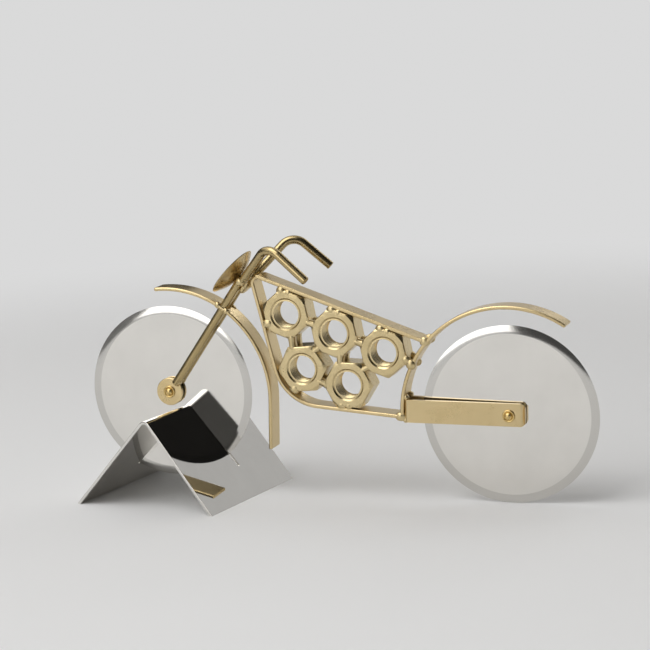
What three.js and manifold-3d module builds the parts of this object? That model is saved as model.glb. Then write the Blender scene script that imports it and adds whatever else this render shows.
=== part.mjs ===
// Pizza cutter shaped like a chopper motorcycle: two round cutting wheels in a welded strip-and-rod frame
// filled with hexagon nuts, its front wheel held in the slot of a folded sheet stand.
// Millimetres, +Z up. The bike faces -X, its left side -Y. The stand and the rear wheel rest on z = 0.
import * as THREE from 'three';
import { mergeVertices } from 'three/addons/utils/BufferGeometryUtils.js';
import Module from 'manifold-3d';

const wasm = await Module();
wasm.setup();

// Fits
const SEAT_GAP = 0.35; // between pieces that touch or are welded
const RUNNING_GAP = 0.3; // between a turning wheel or its shaft and what is beside it

// Cutting wheels and their axles
const WHEEL_DIAMETER = 93;
const WHEEL_THICKNESS = 1.2;
const BEVEL_WIDTH = 4.3;
const CUTTING_EDGE = 0.3;
const RIVET_DIAMETER = 4;
const RIVET_HEAD_DIAMETER = 6.6;
const RIVET_HEAD_HEIGHT = 2;
const SPACER_DIAMETER = 8;

// Flat bar that the frame, the fenders and the rear fork are bent from
const STRIP_WIDTH = 12;
const STRIP_THICKNESS = 2;

// Hexagon nuts, M16
const NUT_ACROSS_FLATS = 24;
const NUT_THICKNESS = 13;
const NUT_BORE = 14;
const NUT_COUNTERSINK = 17.3;
const NUT_CORNER_CHAMFER = 30; // degrees

// Nut layout, seen from the left side, with heights above the axle line
const ROW_HEIGHT = 38; // centre of the middle nut of the upper row
const ROW_SLOPE = 17.8; // degrees, falling to the rear
const ROW_CORNER_GAP = 0.5; // between the corners of neighbours in the upper row
const LOWER_FRONT_NUT = { along: -10.9, drop: 24.5 }; // from the middle nut, along the row and square to it
const LOWER_FRONT_NUT_TURN = 6.6; // degrees
const LOWER_REAR_NUT = { along: 15.4, drop: 23.4 };
const LOWER_REAR_NUT_TURN = 0; // degrees

// Frame loop around the nuts
const DOWN_RAIL_SLOPE = 74.5; // degrees
const BOTTOM_RAIL_SLOPE = 2.9; // degrees
const HEAD_BEND_RADIUS = 4; // outside of the bend
const LOWER_BEND_RADIUS = 26.5; // outside of the bend

// Fenders
const REAR_FENDER_CLEARANCE = 9; // above the rear wheel
const REAR_FENDER_FROM = 184.4; // degrees about the rear axle, lower end
const REAR_FENDER_TO = 59; // degrees, tail
const REAR_FENDER_NUT_GAP = 1.5;
const FRONT_FENDER_CLEARANCE = 10.1; // above the front wheel
const FRONT_FENDER_TIP = 98.4; // degrees about its own centre
const FRONT_FENDER_TAIL = 26; // straight stretch behind the wheel
const FRONT_FENDER_OFFSET = { x: 1.4, z: -1 }; // centre of its arc, from the front axle
const FRONT_FENDER_FRAME_GAP = 3.7;

// Rear fork, one bar bent to a U around the rear wheel
const REAR_FORK_TILT = 1.4; // degrees, rising to the rear
const REAR_FORK_OVERHANG = 8.6; // behind the axle
const REAR_FORK_LIFT = 0.5; // of its middle line above the axle
const REAR_FORK_CORNER = 2.6;
const REAR_FORK_BEND_RADIUS = 0.8; // inside of each bend
const REAR_FORK_END_WIDTH = 7.6; // across the arms' ends, which lean in towards the wheel

// Front fork
const FORK_ROD_DIAMETER = 4.4;
const FORK_SPREAD = 7; // between the rods' middle lines
const FORK_SET_BACK = 0.7; // of the rods' middle line behind the axle
const FORK_HEAD_GAP = 2.9; // between the rods and the bend of the frame's head
const FORK_TOP_DROP = 5.4; // from the rods' ends to the level of the head's bend
const FORK_EYE_DIAMETER = 15;
const FORK_EYE_THICKNESS = 1.8;
const FORK_EYE_SPREAD = 5.6; // between the eyes' middles

// Handlebars, from the left fork rod's end: rearward, outward from the middle plane, upward
const BAR_DIAMETER = 4.6;
const BAR_BASE = { x: 3.2, y: 7.6, z: 0.6 };
const LEFT_BAR_CORNER = { x: 21.5, y: 19, z: 21.8 };
const LEFT_BAR_TIP = { x: 43.7, y: 22.2, z: 4.5 };
const RIGHT_BAR_CORNER = { x: 21.5, y: 19, z: 22.8 };
const RIGHT_BAR_TIP = { x: 42, y: 22, z: 5.8 };
const BAR_BEND_RADIUS = 8.5;

// Headlight dish
const DISH_DIAMETER = 29;
const DISH_DEPTH = 4.8;
const DISH_WALL = 1;
const DISH_TURN = 83; // degrees ahead of the fork rods' direction
const DISH_REACH = 7.1; // from the rods' middle line to the rim
const DISH_DROP = 0.8; // of its middle below the rods' ends
const STEM_DIAMETER = 4.6;
const STEM_STOP = 1.2; // of its end ahead of the rods' middle line
const HEAD_WELD_DIAMETER = 10;
const HEAD_WELD_WIDTH = 11;

// Stand, one sheet folded to an inverted V
const STAND_LENGTH = 84;
const STAND_HEIGHT = 49.9; // to the sharp corner of the fold
const STAND_FRONT_REACH = 47.2; // from the ridge to the front foot
const STAND_REAR_REACH = 38.8; // from the ridge to the rear foot
const STAND_SHEET = 1.5;
const STAND_FOLD_RADIUS = 3.6; // outside of the fold
const STAND_TURN = 9.7; // degrees, ridge turned from square to the wheel
const STAND_SET_BACK = 8.8; // of the ridge behind the front axle
const SLOT_DEPTH = 34.9; // below the sharp corner of the fold
const SLOT_CLEARANCE = 0.4; // on each side of the wheel

// Facets
const WHEEL_SIDES = 80;
const ROUND_SIDES = 24;
const ROD_SIDES = 12;
const BEND_STEPS = 8;

const plated = new THREE.MeshStandardMaterial({ color: 0xc2a878, roughness: 0.28, metalness: 1 });
const blade = new THREE.MeshStandardMaterial({ color: 0xcfccc6, roughness: 0.08, metalness: 1 });
const sheet = new THREE.MeshStandardMaterial({ color: 0xbdb9b2, roughness: 0.12, metalness: 1 });

const radians = THREE.MathUtils.degToRad;
const heading = (degrees) => new THREE.Vector2(Math.cos(radians(degrees)), Math.sin(radians(degrees)));

// Solids

function toManifold(geometry) {
  const bare = geometry.index ? geometry.clone() : mergeVertices(geometry);
  bare.deleteAttribute('normal');
  bare.deleteAttribute('uv');
  const merged = mergeVertices(bare, 1e-4);
  return new wasm.Manifold(new wasm.Mesh({
    numProp: 3,
    vertProperties: new Float32Array(merged.attributes.position.array),
    triVerts: new Uint32Array(merged.index.array),
  }));
}

function toGeometry(manifold) {
  const mesh = manifold.getMesh();
  const geometry = new THREE.BufferGeometry();
  geometry.setAttribute('position', new THREE.BufferAttribute(new Float32Array(mesh.vertProperties), 3));
  geometry.setIndex(new THREE.BufferAttribute(new Uint32Array(mesh.triVerts), 1));
  return geometry;
}

// Takes tools away from a geometry.
function cut(geometry, ...tools) {
  const left = tools.reduce((solid, tool) => solid.subtract(toManifold(tool)), toManifold(geometry));
  return toGeometry(left);
}

// Extrudes an outline drawn in the XZ plane to a plate that is centred on the middle plane.
function plate(outline, width, holes = []) {
  const shape = new THREE.Shape(outline);
  shape.holes = holes.map((points) => new THREE.Path(points));
  const geometry = new THREE.ExtrudeGeometry(shape, { depth: width, bevelEnabled: false });
  return geometry.translate(0, 0, -width / 2).rotateX(Math.PI / 2);
}

// Points of an arc, from one angle to another, in degrees.
function arc(centre, radius, from, to, steps) {
  return Array.from({ length: steps + 1 }, (_, i) => {
    const point = heading(THREE.MathUtils.lerp(from, to, i / steps));
    return point.multiplyScalar(radius).add(centre);
  });
}

// Rounds the inner corners of a path. Each corner carries the radius of its bend.
function roundedPath(corners) {
  const points = [corners[0].point];
  for (let i = 1; i < corners.length - 1; i += 1) {
    const { point, radius } = corners[i];
    const back = corners[i - 1].point.clone().sub(point).normalize();
    const ahead = corners[i + 1].point.clone().sub(point).normalize();
    const half = Math.acos(THREE.MathUtils.clamp(back.dot(ahead), -1, 1)) / 2;
    const bisector = back.clone().add(ahead).normalize();
    const centre = point.clone().addScaledVector(bisector, radius / Math.sin(half));
    const first = point.clone().addScaledVector(back, radius / Math.tan(half)).sub(centre).angle();
    const last = point.clone().addScaledVector(ahead, radius / Math.tan(half)).sub(centre).angle();
    const sweep = THREE.MathUtils.euclideanModulo(last - first + Math.PI, 2 * Math.PI) - Math.PI;
    const degrees = THREE.MathUtils.radToDeg;
    points.push(...arc(centre, radius, degrees(first), degrees(first + sweep), BEND_STEPS));
  }
  points.push(corners.at(-1).point);
  return points;
}

// Outline of a bar bent along a path, half its thickness to each side.
function barOutline(path, thickness) {
  const side = (offset) => path.map((point, i) => {
    const before = path[Math.max(i - 1, 0)];
    const after = path[Math.min(i + 1, path.length - 1)];
    const along = after.clone().sub(before).normalize();
    const nearer = i > 0 && i < path.length - 1 ? point.clone().sub(before).normalize() : along;
    const miter = offset / Math.max(nearer.dot(along), 0.5);
    return point.clone().add(new THREE.Vector2(-along.y, along.x).multiplyScalar(miter));
  });
  return [...side(thickness / 2), ...side(-thickness / 2).reverse()];
}

// Solid of revolution about an axle along Y, from points of radius and position along the axle.
function turned(profile, sides) {
  return new THREE.LatheGeometry(profile.map(([radius, y]) => new THREE.Vector2(radius, y)), sides);
}

function tube(inner, outer, length, sides) {
  const half = length / 2;
  return turned([[inner, -half], [outer, -half], [outer, half], [inner, half], [inner, -half]], sides);
}

function axleRod(diameter, length, sides = ROUND_SIDES) {
  return new THREE.CylinderGeometry(diameter / 2, diameter / 2, length, sides);
}

// Straight round rod between two points.
function rodBetween(from, to, diameter, sides = ROD_SIDES) {
  const along = to.clone().sub(from);
  const geometry = axleRod(diameter, along.length(), sides);
  geometry.applyQuaternion(new THREE.Quaternion().setFromUnitVectors(
    new THREE.Vector3(0, 1, 0), along.clone().normalize()));
  return geometry.translate(...from.clone().lerp(to, 0.5).toArray());
}

// Round rod with one bend.
function bentRod(from, corner, to, bendRadius, diameter) {
  const back = from.clone().sub(corner).normalize();
  const ahead = to.clone().sub(corner).normalize();
  const half = back.angleTo(ahead) / 2;
  const tangent = bendRadius / Math.tan(half);
  const first = corner.clone().addScaledVector(back, tangent);
  const last = corner.clone().addScaledVector(ahead, tangent);
  const turn = Math.PI - 2 * half;
  const pull = (4 / 3) * Math.tan(turn / 4) * bendRadius;
  const path = new THREE.CurvePath();
  path.add(new THREE.LineCurve3(from, first));
  path.add(new THREE.CubicBezierCurve3(first, first.clone().addScaledVector(back, -pull),
    last.clone().addScaledVector(ahead, -pull), last));
  path.add(new THREE.LineCurve3(last, to));
  const lastAngle = 360 - 360 / ROD_SIDES;
  const section = new THREE.Shape(arc(new THREE.Vector2(), diameter / 2, 0, lastAngle, ROD_SIDES - 1));
  const pathOptions = { steps: 3 * BEND_STEPS, extrudePath: path, bevelEnabled: false };
  return new THREE.ExtrudeGeometry(section, pathOptions);
}

const at = (point, y = 0) => new THREE.Vector3(point.x, y, point.y);

// Layout in the bike's own frame: x from the middle nut of the upper row, height from the axle line

const wheelRadius = WHEEL_DIAMETER / 2;
const nutRadius = NUT_ACROSS_FLATS / Math.sqrt(3);
const rowAlong = heading(-ROW_SLOPE);
const rowDown = heading(-ROW_SLOPE - 90);
const middleNut = new THREE.Vector2(0, ROW_HEIGHT);
const rowPitch = 2 * nutRadius + ROW_CORNER_GAP;
const fromMiddleNut = ({ along, drop }) => middleNut.clone()
  .addScaledVector(rowAlong, along).addScaledVector(rowDown, drop);

const nuts = [
  ...[-1, 0, 1].map((i) => ({
    centre: middleNut.clone().addScaledVector(rowAlong, i * rowPitch),
    turn: -ROW_SLOPE,
  })),
  { centre: fromMiddleNut(LOWER_FRONT_NUT), turn: LOWER_FRONT_NUT_TURN },
  { centre: fromMiddleNut(LOWER_REAR_NUT), turn: LOWER_REAR_NUT_TURN },
];

const nutCorners = ({ centre, turn }) => arc(centre, nutRadius, turn, turn + 300, 5);

// A rail's line lies along its heading, just outside every nut on its outer side.
function rail(slope, outward) {
  const normal = heading(outward);
  const reach = Math.max(...nuts.flatMap((nut) => nutCorners(nut).map((corner) => corner.dot(normal))));
  return { normal, along: heading(slope), outer: reach + SEAT_GAP + STRIP_THICKNESS };
}

const topRail = rail(-ROW_SLOPE, 90 - ROW_SLOPE);
const downRail = rail(-DOWN_RAIL_SLOPE, -90 - DOWN_RAIL_SLOPE);
const bottomRail = rail(-BOTTOM_RAIL_SLOPE, -90 - BOTTOM_RAIL_SLOPE);

// Crossing of two rails' lines, at a depth below their outer faces.
function crossing(a, b, depth) {
  const det = a.normal.x * b.normal.y - a.normal.y * b.normal.x;
  const p = a.outer - depth;
  const q = b.outer - depth;
  return new THREE.Vector2((p * b.normal.y - q * a.normal.y) / det, (a.normal.x * q - b.normal.x * p) / det);
}

const headCorner = crossing(topRail, downRail, 0);
const headHalfAngle = radians(DOWN_RAIL_SLOPE - ROW_SLOPE) / 2;
const headBisector = topRail.along.clone().add(downRail.along).normalize();
const headCentreDistance = HEAD_BEND_RADIUS / Math.sin(headHalfAngle);
const headCentre = headCorner.clone().addScaledVector(headBisector, headCentreDistance);

const rearFenderOuter = wheelRadius + REAR_FENDER_CLEARANCE + STRIP_THICKNESS;
const rearNutCorner = nutCorners(nuts[2])[0];
const rearNutReach = rearFenderOuter + REAR_FENDER_NUT_GAP;
const rearAxle = new THREE.Vector2(
  rearNutCorner.x + Math.sqrt(rearNutReach ** 2 - rearNutCorner.y ** 2), 0);

const frontFenderInner = wheelRadius + FRONT_FENDER_CLEARANCE;
const frontFenderOuter = frontFenderInner + STRIP_THICKNESS;
const frontFenderLine = downRail.outer + frontFenderOuter + FRONT_FENDER_FRAME_GAP;
const frontFenderCentre = new THREE.Vector2(
  (frontFenderLine - downRail.normal.y * FRONT_FENDER_OFFSET.z) / downRail.normal.x, FRONT_FENDER_OFFSET.z);
const frontAxle = new THREE.Vector2(frontFenderCentre.x - FRONT_FENDER_OFFSET.x, 0);

// The fork rods run from just behind the front axle past the head's bend at a set distance.
const forkFoot = frontAxle.clone().add(new THREE.Vector2(FORK_SET_BACK, 0));
const forkToHead = headCentre.clone().sub(forkFoot);
const forkHeadDistance = HEAD_BEND_RADIUS + FORK_HEAD_GAP + FORK_ROD_DIAMETER / 2;
const forkTurn = Math.asin(forkHeadDistance / forkToHead.length());
const forkRake = THREE.MathUtils.radToDeg(forkToHead.angle() + forkTurn);
const forkAlong = heading(forkRake);
const forkLength = Math.sqrt(forkToHead.lengthSq() - forkHeadDistance ** 2) - FORK_TOP_DROP;
const forkTop = forkFoot.clone().addScaledVector(forkAlong, forkLength);
const sides = [['left', -1], ['right', 1]];

// Stand, in its own frame: the ridge above the origin along Y, then turned and placed under the front wheel

function standProfile() {
  const outside = [
    { point: new THREE.Vector2(-STAND_FRONT_REACH, 0) },
    { point: new THREE.Vector2(0, STAND_HEIGHT), radius: STAND_FOLD_RADIUS },
    { point: new THREE.Vector2(STAND_REAR_REACH, 0) },
  ];
  const frontFoot = STAND_SHEET / Math.sin(Math.atan2(STAND_HEIGHT, STAND_FRONT_REACH));
  const rearFoot = STAND_SHEET / Math.sin(Math.atan2(STAND_HEIGHT, STAND_REAR_REACH));
  const innerWidth = STAND_FRONT_REACH + STAND_REAR_REACH - frontFoot - rearFoot;
  const innerShare = innerWidth / (STAND_FRONT_REACH + STAND_REAR_REACH);
  const innerRidge = frontFoot - STAND_FRONT_REACH + STAND_FRONT_REACH * innerShare;
  const inside = [
    { point: new THREE.Vector2(frontFoot - STAND_FRONT_REACH, 0) },
    {
      point: new THREE.Vector2(innerRidge, STAND_HEIGHT * innerShare),
      radius: STAND_FOLD_RADIUS - STAND_SHEET,
    },
    { point: new THREE.Vector2(STAND_REAR_REACH - rearFoot, 0) },
  ];
  return { outline: [...roundedPath(outside), ...roundedPath(inside).reverse()], frontFoot };
}

const standShape = standProfile();
const standTurn = radians(STAND_TURN);
const standSlope = STAND_HEIGHT / STAND_FRONT_REACH;
const slotEndHeight = STAND_HEIGHT - SLOT_DEPTH;

// The front wheel rests in the slot of the stand's front leg, so the bike's nose is raised.
const slotEdge = standShape.frontFoot - STAND_FRONT_REACH + slotEndHeight / standSlope;
const slotAhead = STAND_SET_BACK + slotEdge / Math.cos(standTurn);
const frontAxleHeight = slotEndHeight + Math.sqrt((wheelRadius + RUNNING_GAP) ** 2 - slotAhead ** 2);
const wheelbase = rearAxle.x - frontAxle.x;
const bikePitch = Math.asin((frontAxleHeight - wheelRadius) / wheelbase);
const halfBase = (wheelbase * Math.cos(bikePitch)) / 2;

const object = new THREE.Group();
const bike = new THREE.Group();
bike.rotation.y = bikePitch;
bike.position.set(halfBase, 0, wheelRadius);
const bikeFrame = new THREE.Group();
bikeFrame.position.x = -rearAxle.x;
bike.add(bikeFrame);
object.add(bike);

function add(name, geometry, material, parent = bikeFrame) {
  const mesh = new THREE.Mesh(geometry, material);
  mesh.name = name;
  parent.add(mesh);
  return mesh;
}

// Cutting wheels

function wheel() {
  const bore = RIVET_DIAMETER / 2 + RUNNING_GAP;
  const half = WHEEL_THICKNESS / 2;
  const flat = wheelRadius - BEVEL_WIDTH;
  const edge = CUTTING_EDGE / 2;
  return turned([[bore, -half], [flat, -half], [wheelRadius, -edge], [wheelRadius, edge],
    [flat, half], [bore, half], [bore, -half]], WHEEL_SIDES);
}

// Rivet with a domed head at each end, over an outside width.
function rivet(outsideWidth) {
  const shank = RIVET_DIAMETER / 2;
  const head = RIVET_HEAD_DIAMETER / 2;
  const seat = outsideWidth / 2 + SEAT_GAP;
  const dome = [0, 0.5, 0.8, 1].map(
    (share) => [head * Math.sqrt(1 - share ** 2), seat + RIVET_HEAD_HEIGHT * share]);
  const upper = [[shank, seat], ...dome];
  const lower = upper.map(([radius, y]) => [radius, -y]).reverse();
  return turned([...lower, ...upper], ROUND_SIDES);
}

const spacerBore = RIVET_DIAMETER / 2 + RUNNING_GAP;
const wheelSide = WHEEL_THICKNESS / 2 + RUNNING_GAP;

function addAxle(end, axle, innerWidth, outsideWidth) {
  add(`${end}_wheel`, wheel(), blade).position.copy(at(axle));
  add(`${end}_axle_rivet`, rivet(outsideWidth), plated).position.copy(at(axle));
  const length = innerWidth / 2 - SEAT_GAP - wheelSide;
  for (const [side, sign] of sides) {
    const spacer = tube(spacerBore, SPACER_DIAMETER / 2, length, ROUND_SIDES);
    add(`${end}_spacer_${side}`, spacer, plated).position.copy(at(axle, sign * (wheelSide + length / 2)));
  }
}

const rearFenderInner = rearFenderOuter - STRIP_THICKNESS;
const rearForkTop = STRIP_WIDTH / 2 + REAR_FORK_LIFT;
const rearForkReach = Math.sqrt(rearFenderInner ** 2 - rearForkTop ** 2);
const rearForkFront = SEAT_GAP - rearForkReach;
const rearForkSide = STRIP_WIDTH / 2;
const rearForkBend = REAR_FORK_BEND_RADIUS + STRIP_THICKNESS;
const rearForkEnd = REAR_FORK_END_WIDTH / 2;
const rearForkLean = (rearForkSide - rearForkEnd) / (REAR_FORK_OVERHANG - rearForkFront - rearForkBend);
const rearForkAtAxle = rearForkEnd + rearForkLean * REAR_FORK_OVERHANG;
const rearSpacerSeat = rearForkAtAxle - STRIP_THICKNESS - (rearForkLean * SPACER_DIAMETER) / 2;
const rearHeadSeat = rearForkAtAxle + (rearForkLean * RIVET_HEAD_DIAMETER) / 2;
addAxle('front', frontAxle, FORK_EYE_SPREAD - FORK_EYE_THICKNESS, FORK_EYE_SPREAD + FORK_EYE_THICKNESS);
addAxle('rear', rearAxle, 2 * rearSpacerSeat, 2 * rearHeadSeat);

// Nuts, with chamfered corners and countersunk bores

function hexNut() {
  const half = NUT_THICKNESS / 2;
  const hexagon = plate(arc(new THREE.Vector2(), nutRadius, 0, 300, 5), NUT_THICKNESS);
  const faceRadius = (NUT_ACROSS_FLATS / 2) * 0.97;
  const slope = Math.tan(radians(NUT_CORNER_CHAMFER));
  const cornerDepth = (nutRadius - faceRadius) * slope;
  const envelope = turned([[0, -half], [faceRadius, -half], [nutRadius, cornerDepth - half],
    [nutRadius, half - cornerDepth], [faceRadius, half], [0, half]], 2 * ROUND_SIDES);
  const sink = (NUT_COUNTERSINK - NUT_BORE) / 2;
  const past = 1; // beyond the faces, so that the cut is clean
  const boreRadius = NUT_BORE / 2;
  const bore = turned([[0, -half - past], [boreRadius + sink + past, -half - past], [boreRadius, sink - half],
    [boreRadius, half - sink], [boreRadius + sink + past, half + past], [0, half + past]], ROUND_SIDES);
  return toGeometry(toManifold(hexagon).intersect(toManifold(envelope)).subtract(toManifold(bore)));
}

nuts.forEach(({ centre, turn }, i) => {
  const mesh = add(`nut_${i + 1}`, hexNut(), plated);
  mesh.position.copy(at(centre));
  mesh.rotation.y = -radians(turn);
});

// Frame loop: one bar along the top rail, round the head, down and back along the bottom

const past = 10; // past the rear fender's face, where the bar is cut off
const half = STRIP_THICKNESS / 2;
const headMiddle = crossing(topRail, downRail, half);
const lowerMiddle = crossing(downRail, bottomRail, half);
const reachAlong = (from, along) => from.clone()
  .addScaledVector(along, (rearAxle.x - rearFenderOuter - from.x) / along.x);
const topEnd = reachAlong(headMiddle, topRail.along).addScaledVector(topRail.along, 2 * past);
const bottomEnd = reachAlong(lowerMiddle, bottomRail.along).addScaledVector(bottomRail.along, past);
const loopPath = roundedPath([
  { point: topEnd },
  { point: headMiddle, radius: HEAD_BEND_RADIUS - half },
  { point: lowerMiddle, radius: LOWER_BEND_RADIUS - half },
  { point: bottomEnd },
]);
const behindLoop = axleRod(2 * (rearFenderOuter + SEAT_GAP), STRIP_WIDTH + past, WHEEL_SIDES);
behindLoop.translate(rearAxle.x, 0, 0);
const loopSolid = plate(barOutline(loopPath, STRIP_THICKNESS), STRIP_WIDTH);
add('frame_loop', cut(loopSolid, behindLoop), plated);

// Fenders

const rearFenderMiddle = rearFenderOuter - half;
const rearFenderPath = arc(rearAxle, rearFenderMiddle, REAR_FENDER_FROM, REAR_FENDER_TO, 3 * BEND_STEPS);
add('rear_fender', plate(barOutline(rearFenderPath, STRIP_THICKNESS), STRIP_WIDTH), plated);

const frontFenderPath = arc(frontFenderCentre, frontFenderOuter - half, FRONT_FENDER_TIP, 0, 3 * BEND_STEPS);
frontFenderPath.push(frontFenderPath.at(-1).clone().add(new THREE.Vector2(0, -FRONT_FENDER_TAIL)));
const forkRod = (depth, spare = 0) => rodBetween(
  at(forkFoot, depth), at(forkTop, depth), FORK_ROD_DIAMETER + 2 * spare, ROUND_SIDES);
const rodsWithGap = sides.map(([, sign]) => forkRod(sign * FORK_SPREAD / 2, SEAT_GAP));
const fenderNotches = sides.map(([, sign]) => forkRod(sign * STRIP_WIDTH / 2, SEAT_GAP));
const frontFender = plate(barOutline(frontFenderPath, STRIP_THICKNESS), STRIP_WIDTH);
add('front_fender', cut(frontFender, ...rodsWithGap, ...fenderNotches), plated);

// Rear fork

function rearFork() {
  const bendCentre = (y) => new THREE.Vector2(rearForkFront + rearForkBend, y);
  const farBend = bendCentre(rearForkSide - rearForkBend);
  const nearBend = bendCentre(rearForkBend - rearForkSide);
  const outline = [
    new THREE.Vector2(REAR_FORK_OVERHANG, rearForkEnd),
    ...arc(farBend, rearForkBend, 90, 180, BEND_STEPS),
    ...arc(nearBend, rearForkBend, 180, 270, BEND_STEPS),
    new THREE.Vector2(REAR_FORK_OVERHANG, -rearForkEnd),
    new THREE.Vector2(REAR_FORK_OVERHANG, STRIP_THICKNESS - rearForkEnd),
    ...arc(nearBend, REAR_FORK_BEND_RADIUS, 270, 180, BEND_STEPS),
    ...arc(farBend, REAR_FORK_BEND_RADIUS, 180, 90, BEND_STEPS),
    new THREE.Vector2(REAR_FORK_OVERHANG, rearForkEnd - STRIP_THICKNESS),
  ];
  const barOptions = { depth: STRIP_WIDTH, bevelEnabled: false };
  const bar = new THREE.ExtrudeGeometry(new THREE.Shape(outline), barOptions);
  bar.translate(0, 0, -STRIP_WIDTH / 2);
  const top = STRIP_WIDTH / 2;
  const corner = (z) => new THREE.Vector2(REAR_FORK_OVERHANG - REAR_FORK_CORNER, z);
  const sideOutline = [
    new THREE.Vector2(rearForkFront - past, -top),
    ...arc(corner(REAR_FORK_CORNER - top), REAR_FORK_CORNER, -90, 0, BEND_STEPS),
    ...arc(corner(top - REAR_FORK_CORNER), REAR_FORK_CORNER, 0, 90, BEND_STEPS),
    new THREE.Vector2(rearForkFront - past, top),
  ];
  const rounded = toManifold(bar).intersect(toManifold(plate(sideOutline, STRIP_WIDTH + past)));
  const hole = axleRod(RIVET_DIAMETER + 2 * RUNNING_GAP, STRIP_WIDTH + past);
  hole.translate(0, 0, -REAR_FORK_LIFT);
  return toGeometry(rounded.subtract(toManifold(hole)));
}

const rearForkMesh = add('rear_fork', rearFork(), plated);
const forkTilt = radians(REAR_FORK_TILT);
rearForkMesh.rotation.y = -forkTilt;
rearForkMesh.position.copy(at(rearAxle));
rearForkMesh.position.x -= REAR_FORK_LIFT * Math.sin(forkTilt);
rearForkMesh.position.z += REAR_FORK_LIFT * Math.cos(forkTilt);

// Front fork: a rod on each side, ending on a round eye that holds the axle

for (const [side, sign] of sides) {
  const eyeBore = RIVET_DIAMETER / 2 + RUNNING_GAP;
  const eye = tube(eyeBore, FORK_EYE_DIAMETER / 2, FORK_EYE_THICKNESS, 2 * ROUND_SIDES);
  add(`fork_eye_${side}`, eye, plated).position.copy(at(frontAxle, sign * FORK_EYE_SPREAD / 2));
  const saddle = axleRod(FORK_EYE_DIAMETER + 2 * SEAT_GAP, FORK_SPREAD, 2 * ROUND_SIDES);
  saddle.translate(frontAxle.x, sign * FORK_SPREAD / 2, 0);
  add(`fork_rod_${side}`, cut(forkRod(sign * FORK_SPREAD / 2), saddle), plated);
}

// Handlebars

const barPoint = ({ x, y, z }, sign) => new THREE.Vector3(forkTop.x + x, sign * y, forkTop.y + z);
const barBends = {
  left: { corner: LEFT_BAR_CORNER, tip: LEFT_BAR_TIP },
  right: { corner: RIGHT_BAR_CORNER, tip: RIGHT_BAR_TIP },
};
const handlebar = (side, sign, spare = 0) => bentRod(
  barPoint(BAR_BASE, sign), barPoint(barBends[side].corner, sign), barPoint(barBends[side].tip, sign),
  BAR_BEND_RADIUS, BAR_DIAMETER + 2 * spare);
for (const [side, sign] of sides) {
  add(`handlebar_${side}`, handlebar(side, sign), plated);
}

// Headlight: a shallow dish on a stem that ends between the fork rods

const dishAxis = heading(forkRake + DISH_TURN);
const stemLevel = forkTop.clone().addScaledVector(forkAlong, -DISH_DROP);
const dishRim = stemLevel.clone().addScaledVector(dishAxis, DISH_REACH);

// Points of a cap's curve, from its rim to its pole, with the rim at height 0 and the pole below.
function capCurve(rimRadius, depth, steps) {
  const curve = (rimRadius ** 2 + depth ** 2) / (2 * depth);
  const reach = Math.asin(rimRadius / curve);
  return Array.from({ length: steps + 1 }, (_, i) => {
    const angle = reach * (1 - i / steps);
    return [curve * Math.sin(angle), curve - depth - curve * Math.cos(angle)];
  });
}

const dishBack = capCurve(DISH_DIAMETER / 2, DISH_DEPTH, BEND_STEPS);
const dishFront = capCurve(DISH_DIAMETER / 2 - DISH_WALL, DISH_DEPTH - DISH_WALL, BEND_STEPS);
const dish = add('headlight_dish', turned([...dishBack.reverse(), ...dishFront], 2 * ROUND_SIDES), plated);
dish.position.copy(at(dishRim));
dish.quaternion.setFromUnitVectors(new THREE.Vector3(0, 1, 0), at(dishAxis));

const stemFront = dishRim.clone().addScaledVector(dishAxis, -DISH_DEPTH - SEAT_GAP);
const stemEnd = stemLevel.clone().addScaledVector(dishAxis, STEM_STOP);
const stem = (spare = 0) => rodBetween(at(stemFront), at(stemEnd), STEM_DIAMETER + 2 * spare, ROUND_SIDES);
add('headlight_stem', cut(stem(), ...rodsWithGap), plated);

// Weld metal that joins the fork rods, the handlebars and the stem to the frame's head

const headSide = heading(forkRake - 90);
const weldCentre = forkTop.clone().addScaledVector(headSide, FORK_ROD_DIAMETER / 2 + FORK_HEAD_GAP / 2);
const weldBlank = axleRod(HEAD_WELD_DIAMETER, HEAD_WELD_WIDTH, ROUND_SIDES)
  .translate(weldCentre.x, 0, weldCentre.y);
const loopWithGap = plate(barOutline(loopPath, STRIP_THICKNESS + 2 * SEAT_GAP), STRIP_WIDTH + past);
const barsWithGap = sides.map(([side, sign]) => handlebar(side, sign, SEAT_GAP));
add('head_weld', cut(weldBlank, loopWithGap, ...rodsWithGap, ...barsWithGap, stem(SEAT_GAP)), plated);

// Stand, turned under the wheel with its slot in the wheel's plane

function stand() {
  const folded = plate(standShape.outline, STAND_LENGTH).rotateZ(-standTurn);
  const sideStep = ((STAND_FRONT_REACH - STAND_REAR_REACH) * Math.sin(standTurn)) / 2;
  folded.translate(-sideStep * Math.tan(standTurn), -sideStep, 0);
  const slotWidth = WHEEL_THICKNESS + 2 * SLOT_CLEARANCE;
  const slot = new THREE.BoxGeometry(3 * STAND_LENGTH, slotWidth, STAND_HEIGHT);
  slot.translate(0, 0, slotEndHeight + STAND_HEIGHT / 2);
  return cut(folded, slot);
}

add('stand', stand(), sheet, object).position.x = STAND_SET_BACK - halfBase;

export default object;
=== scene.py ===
"""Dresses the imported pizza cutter: a plated motorcycle of bars and nuts on cutting wheels, and its stand."""

import math

import bpy
from mathutils import Matrix, Vector, noise


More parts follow.
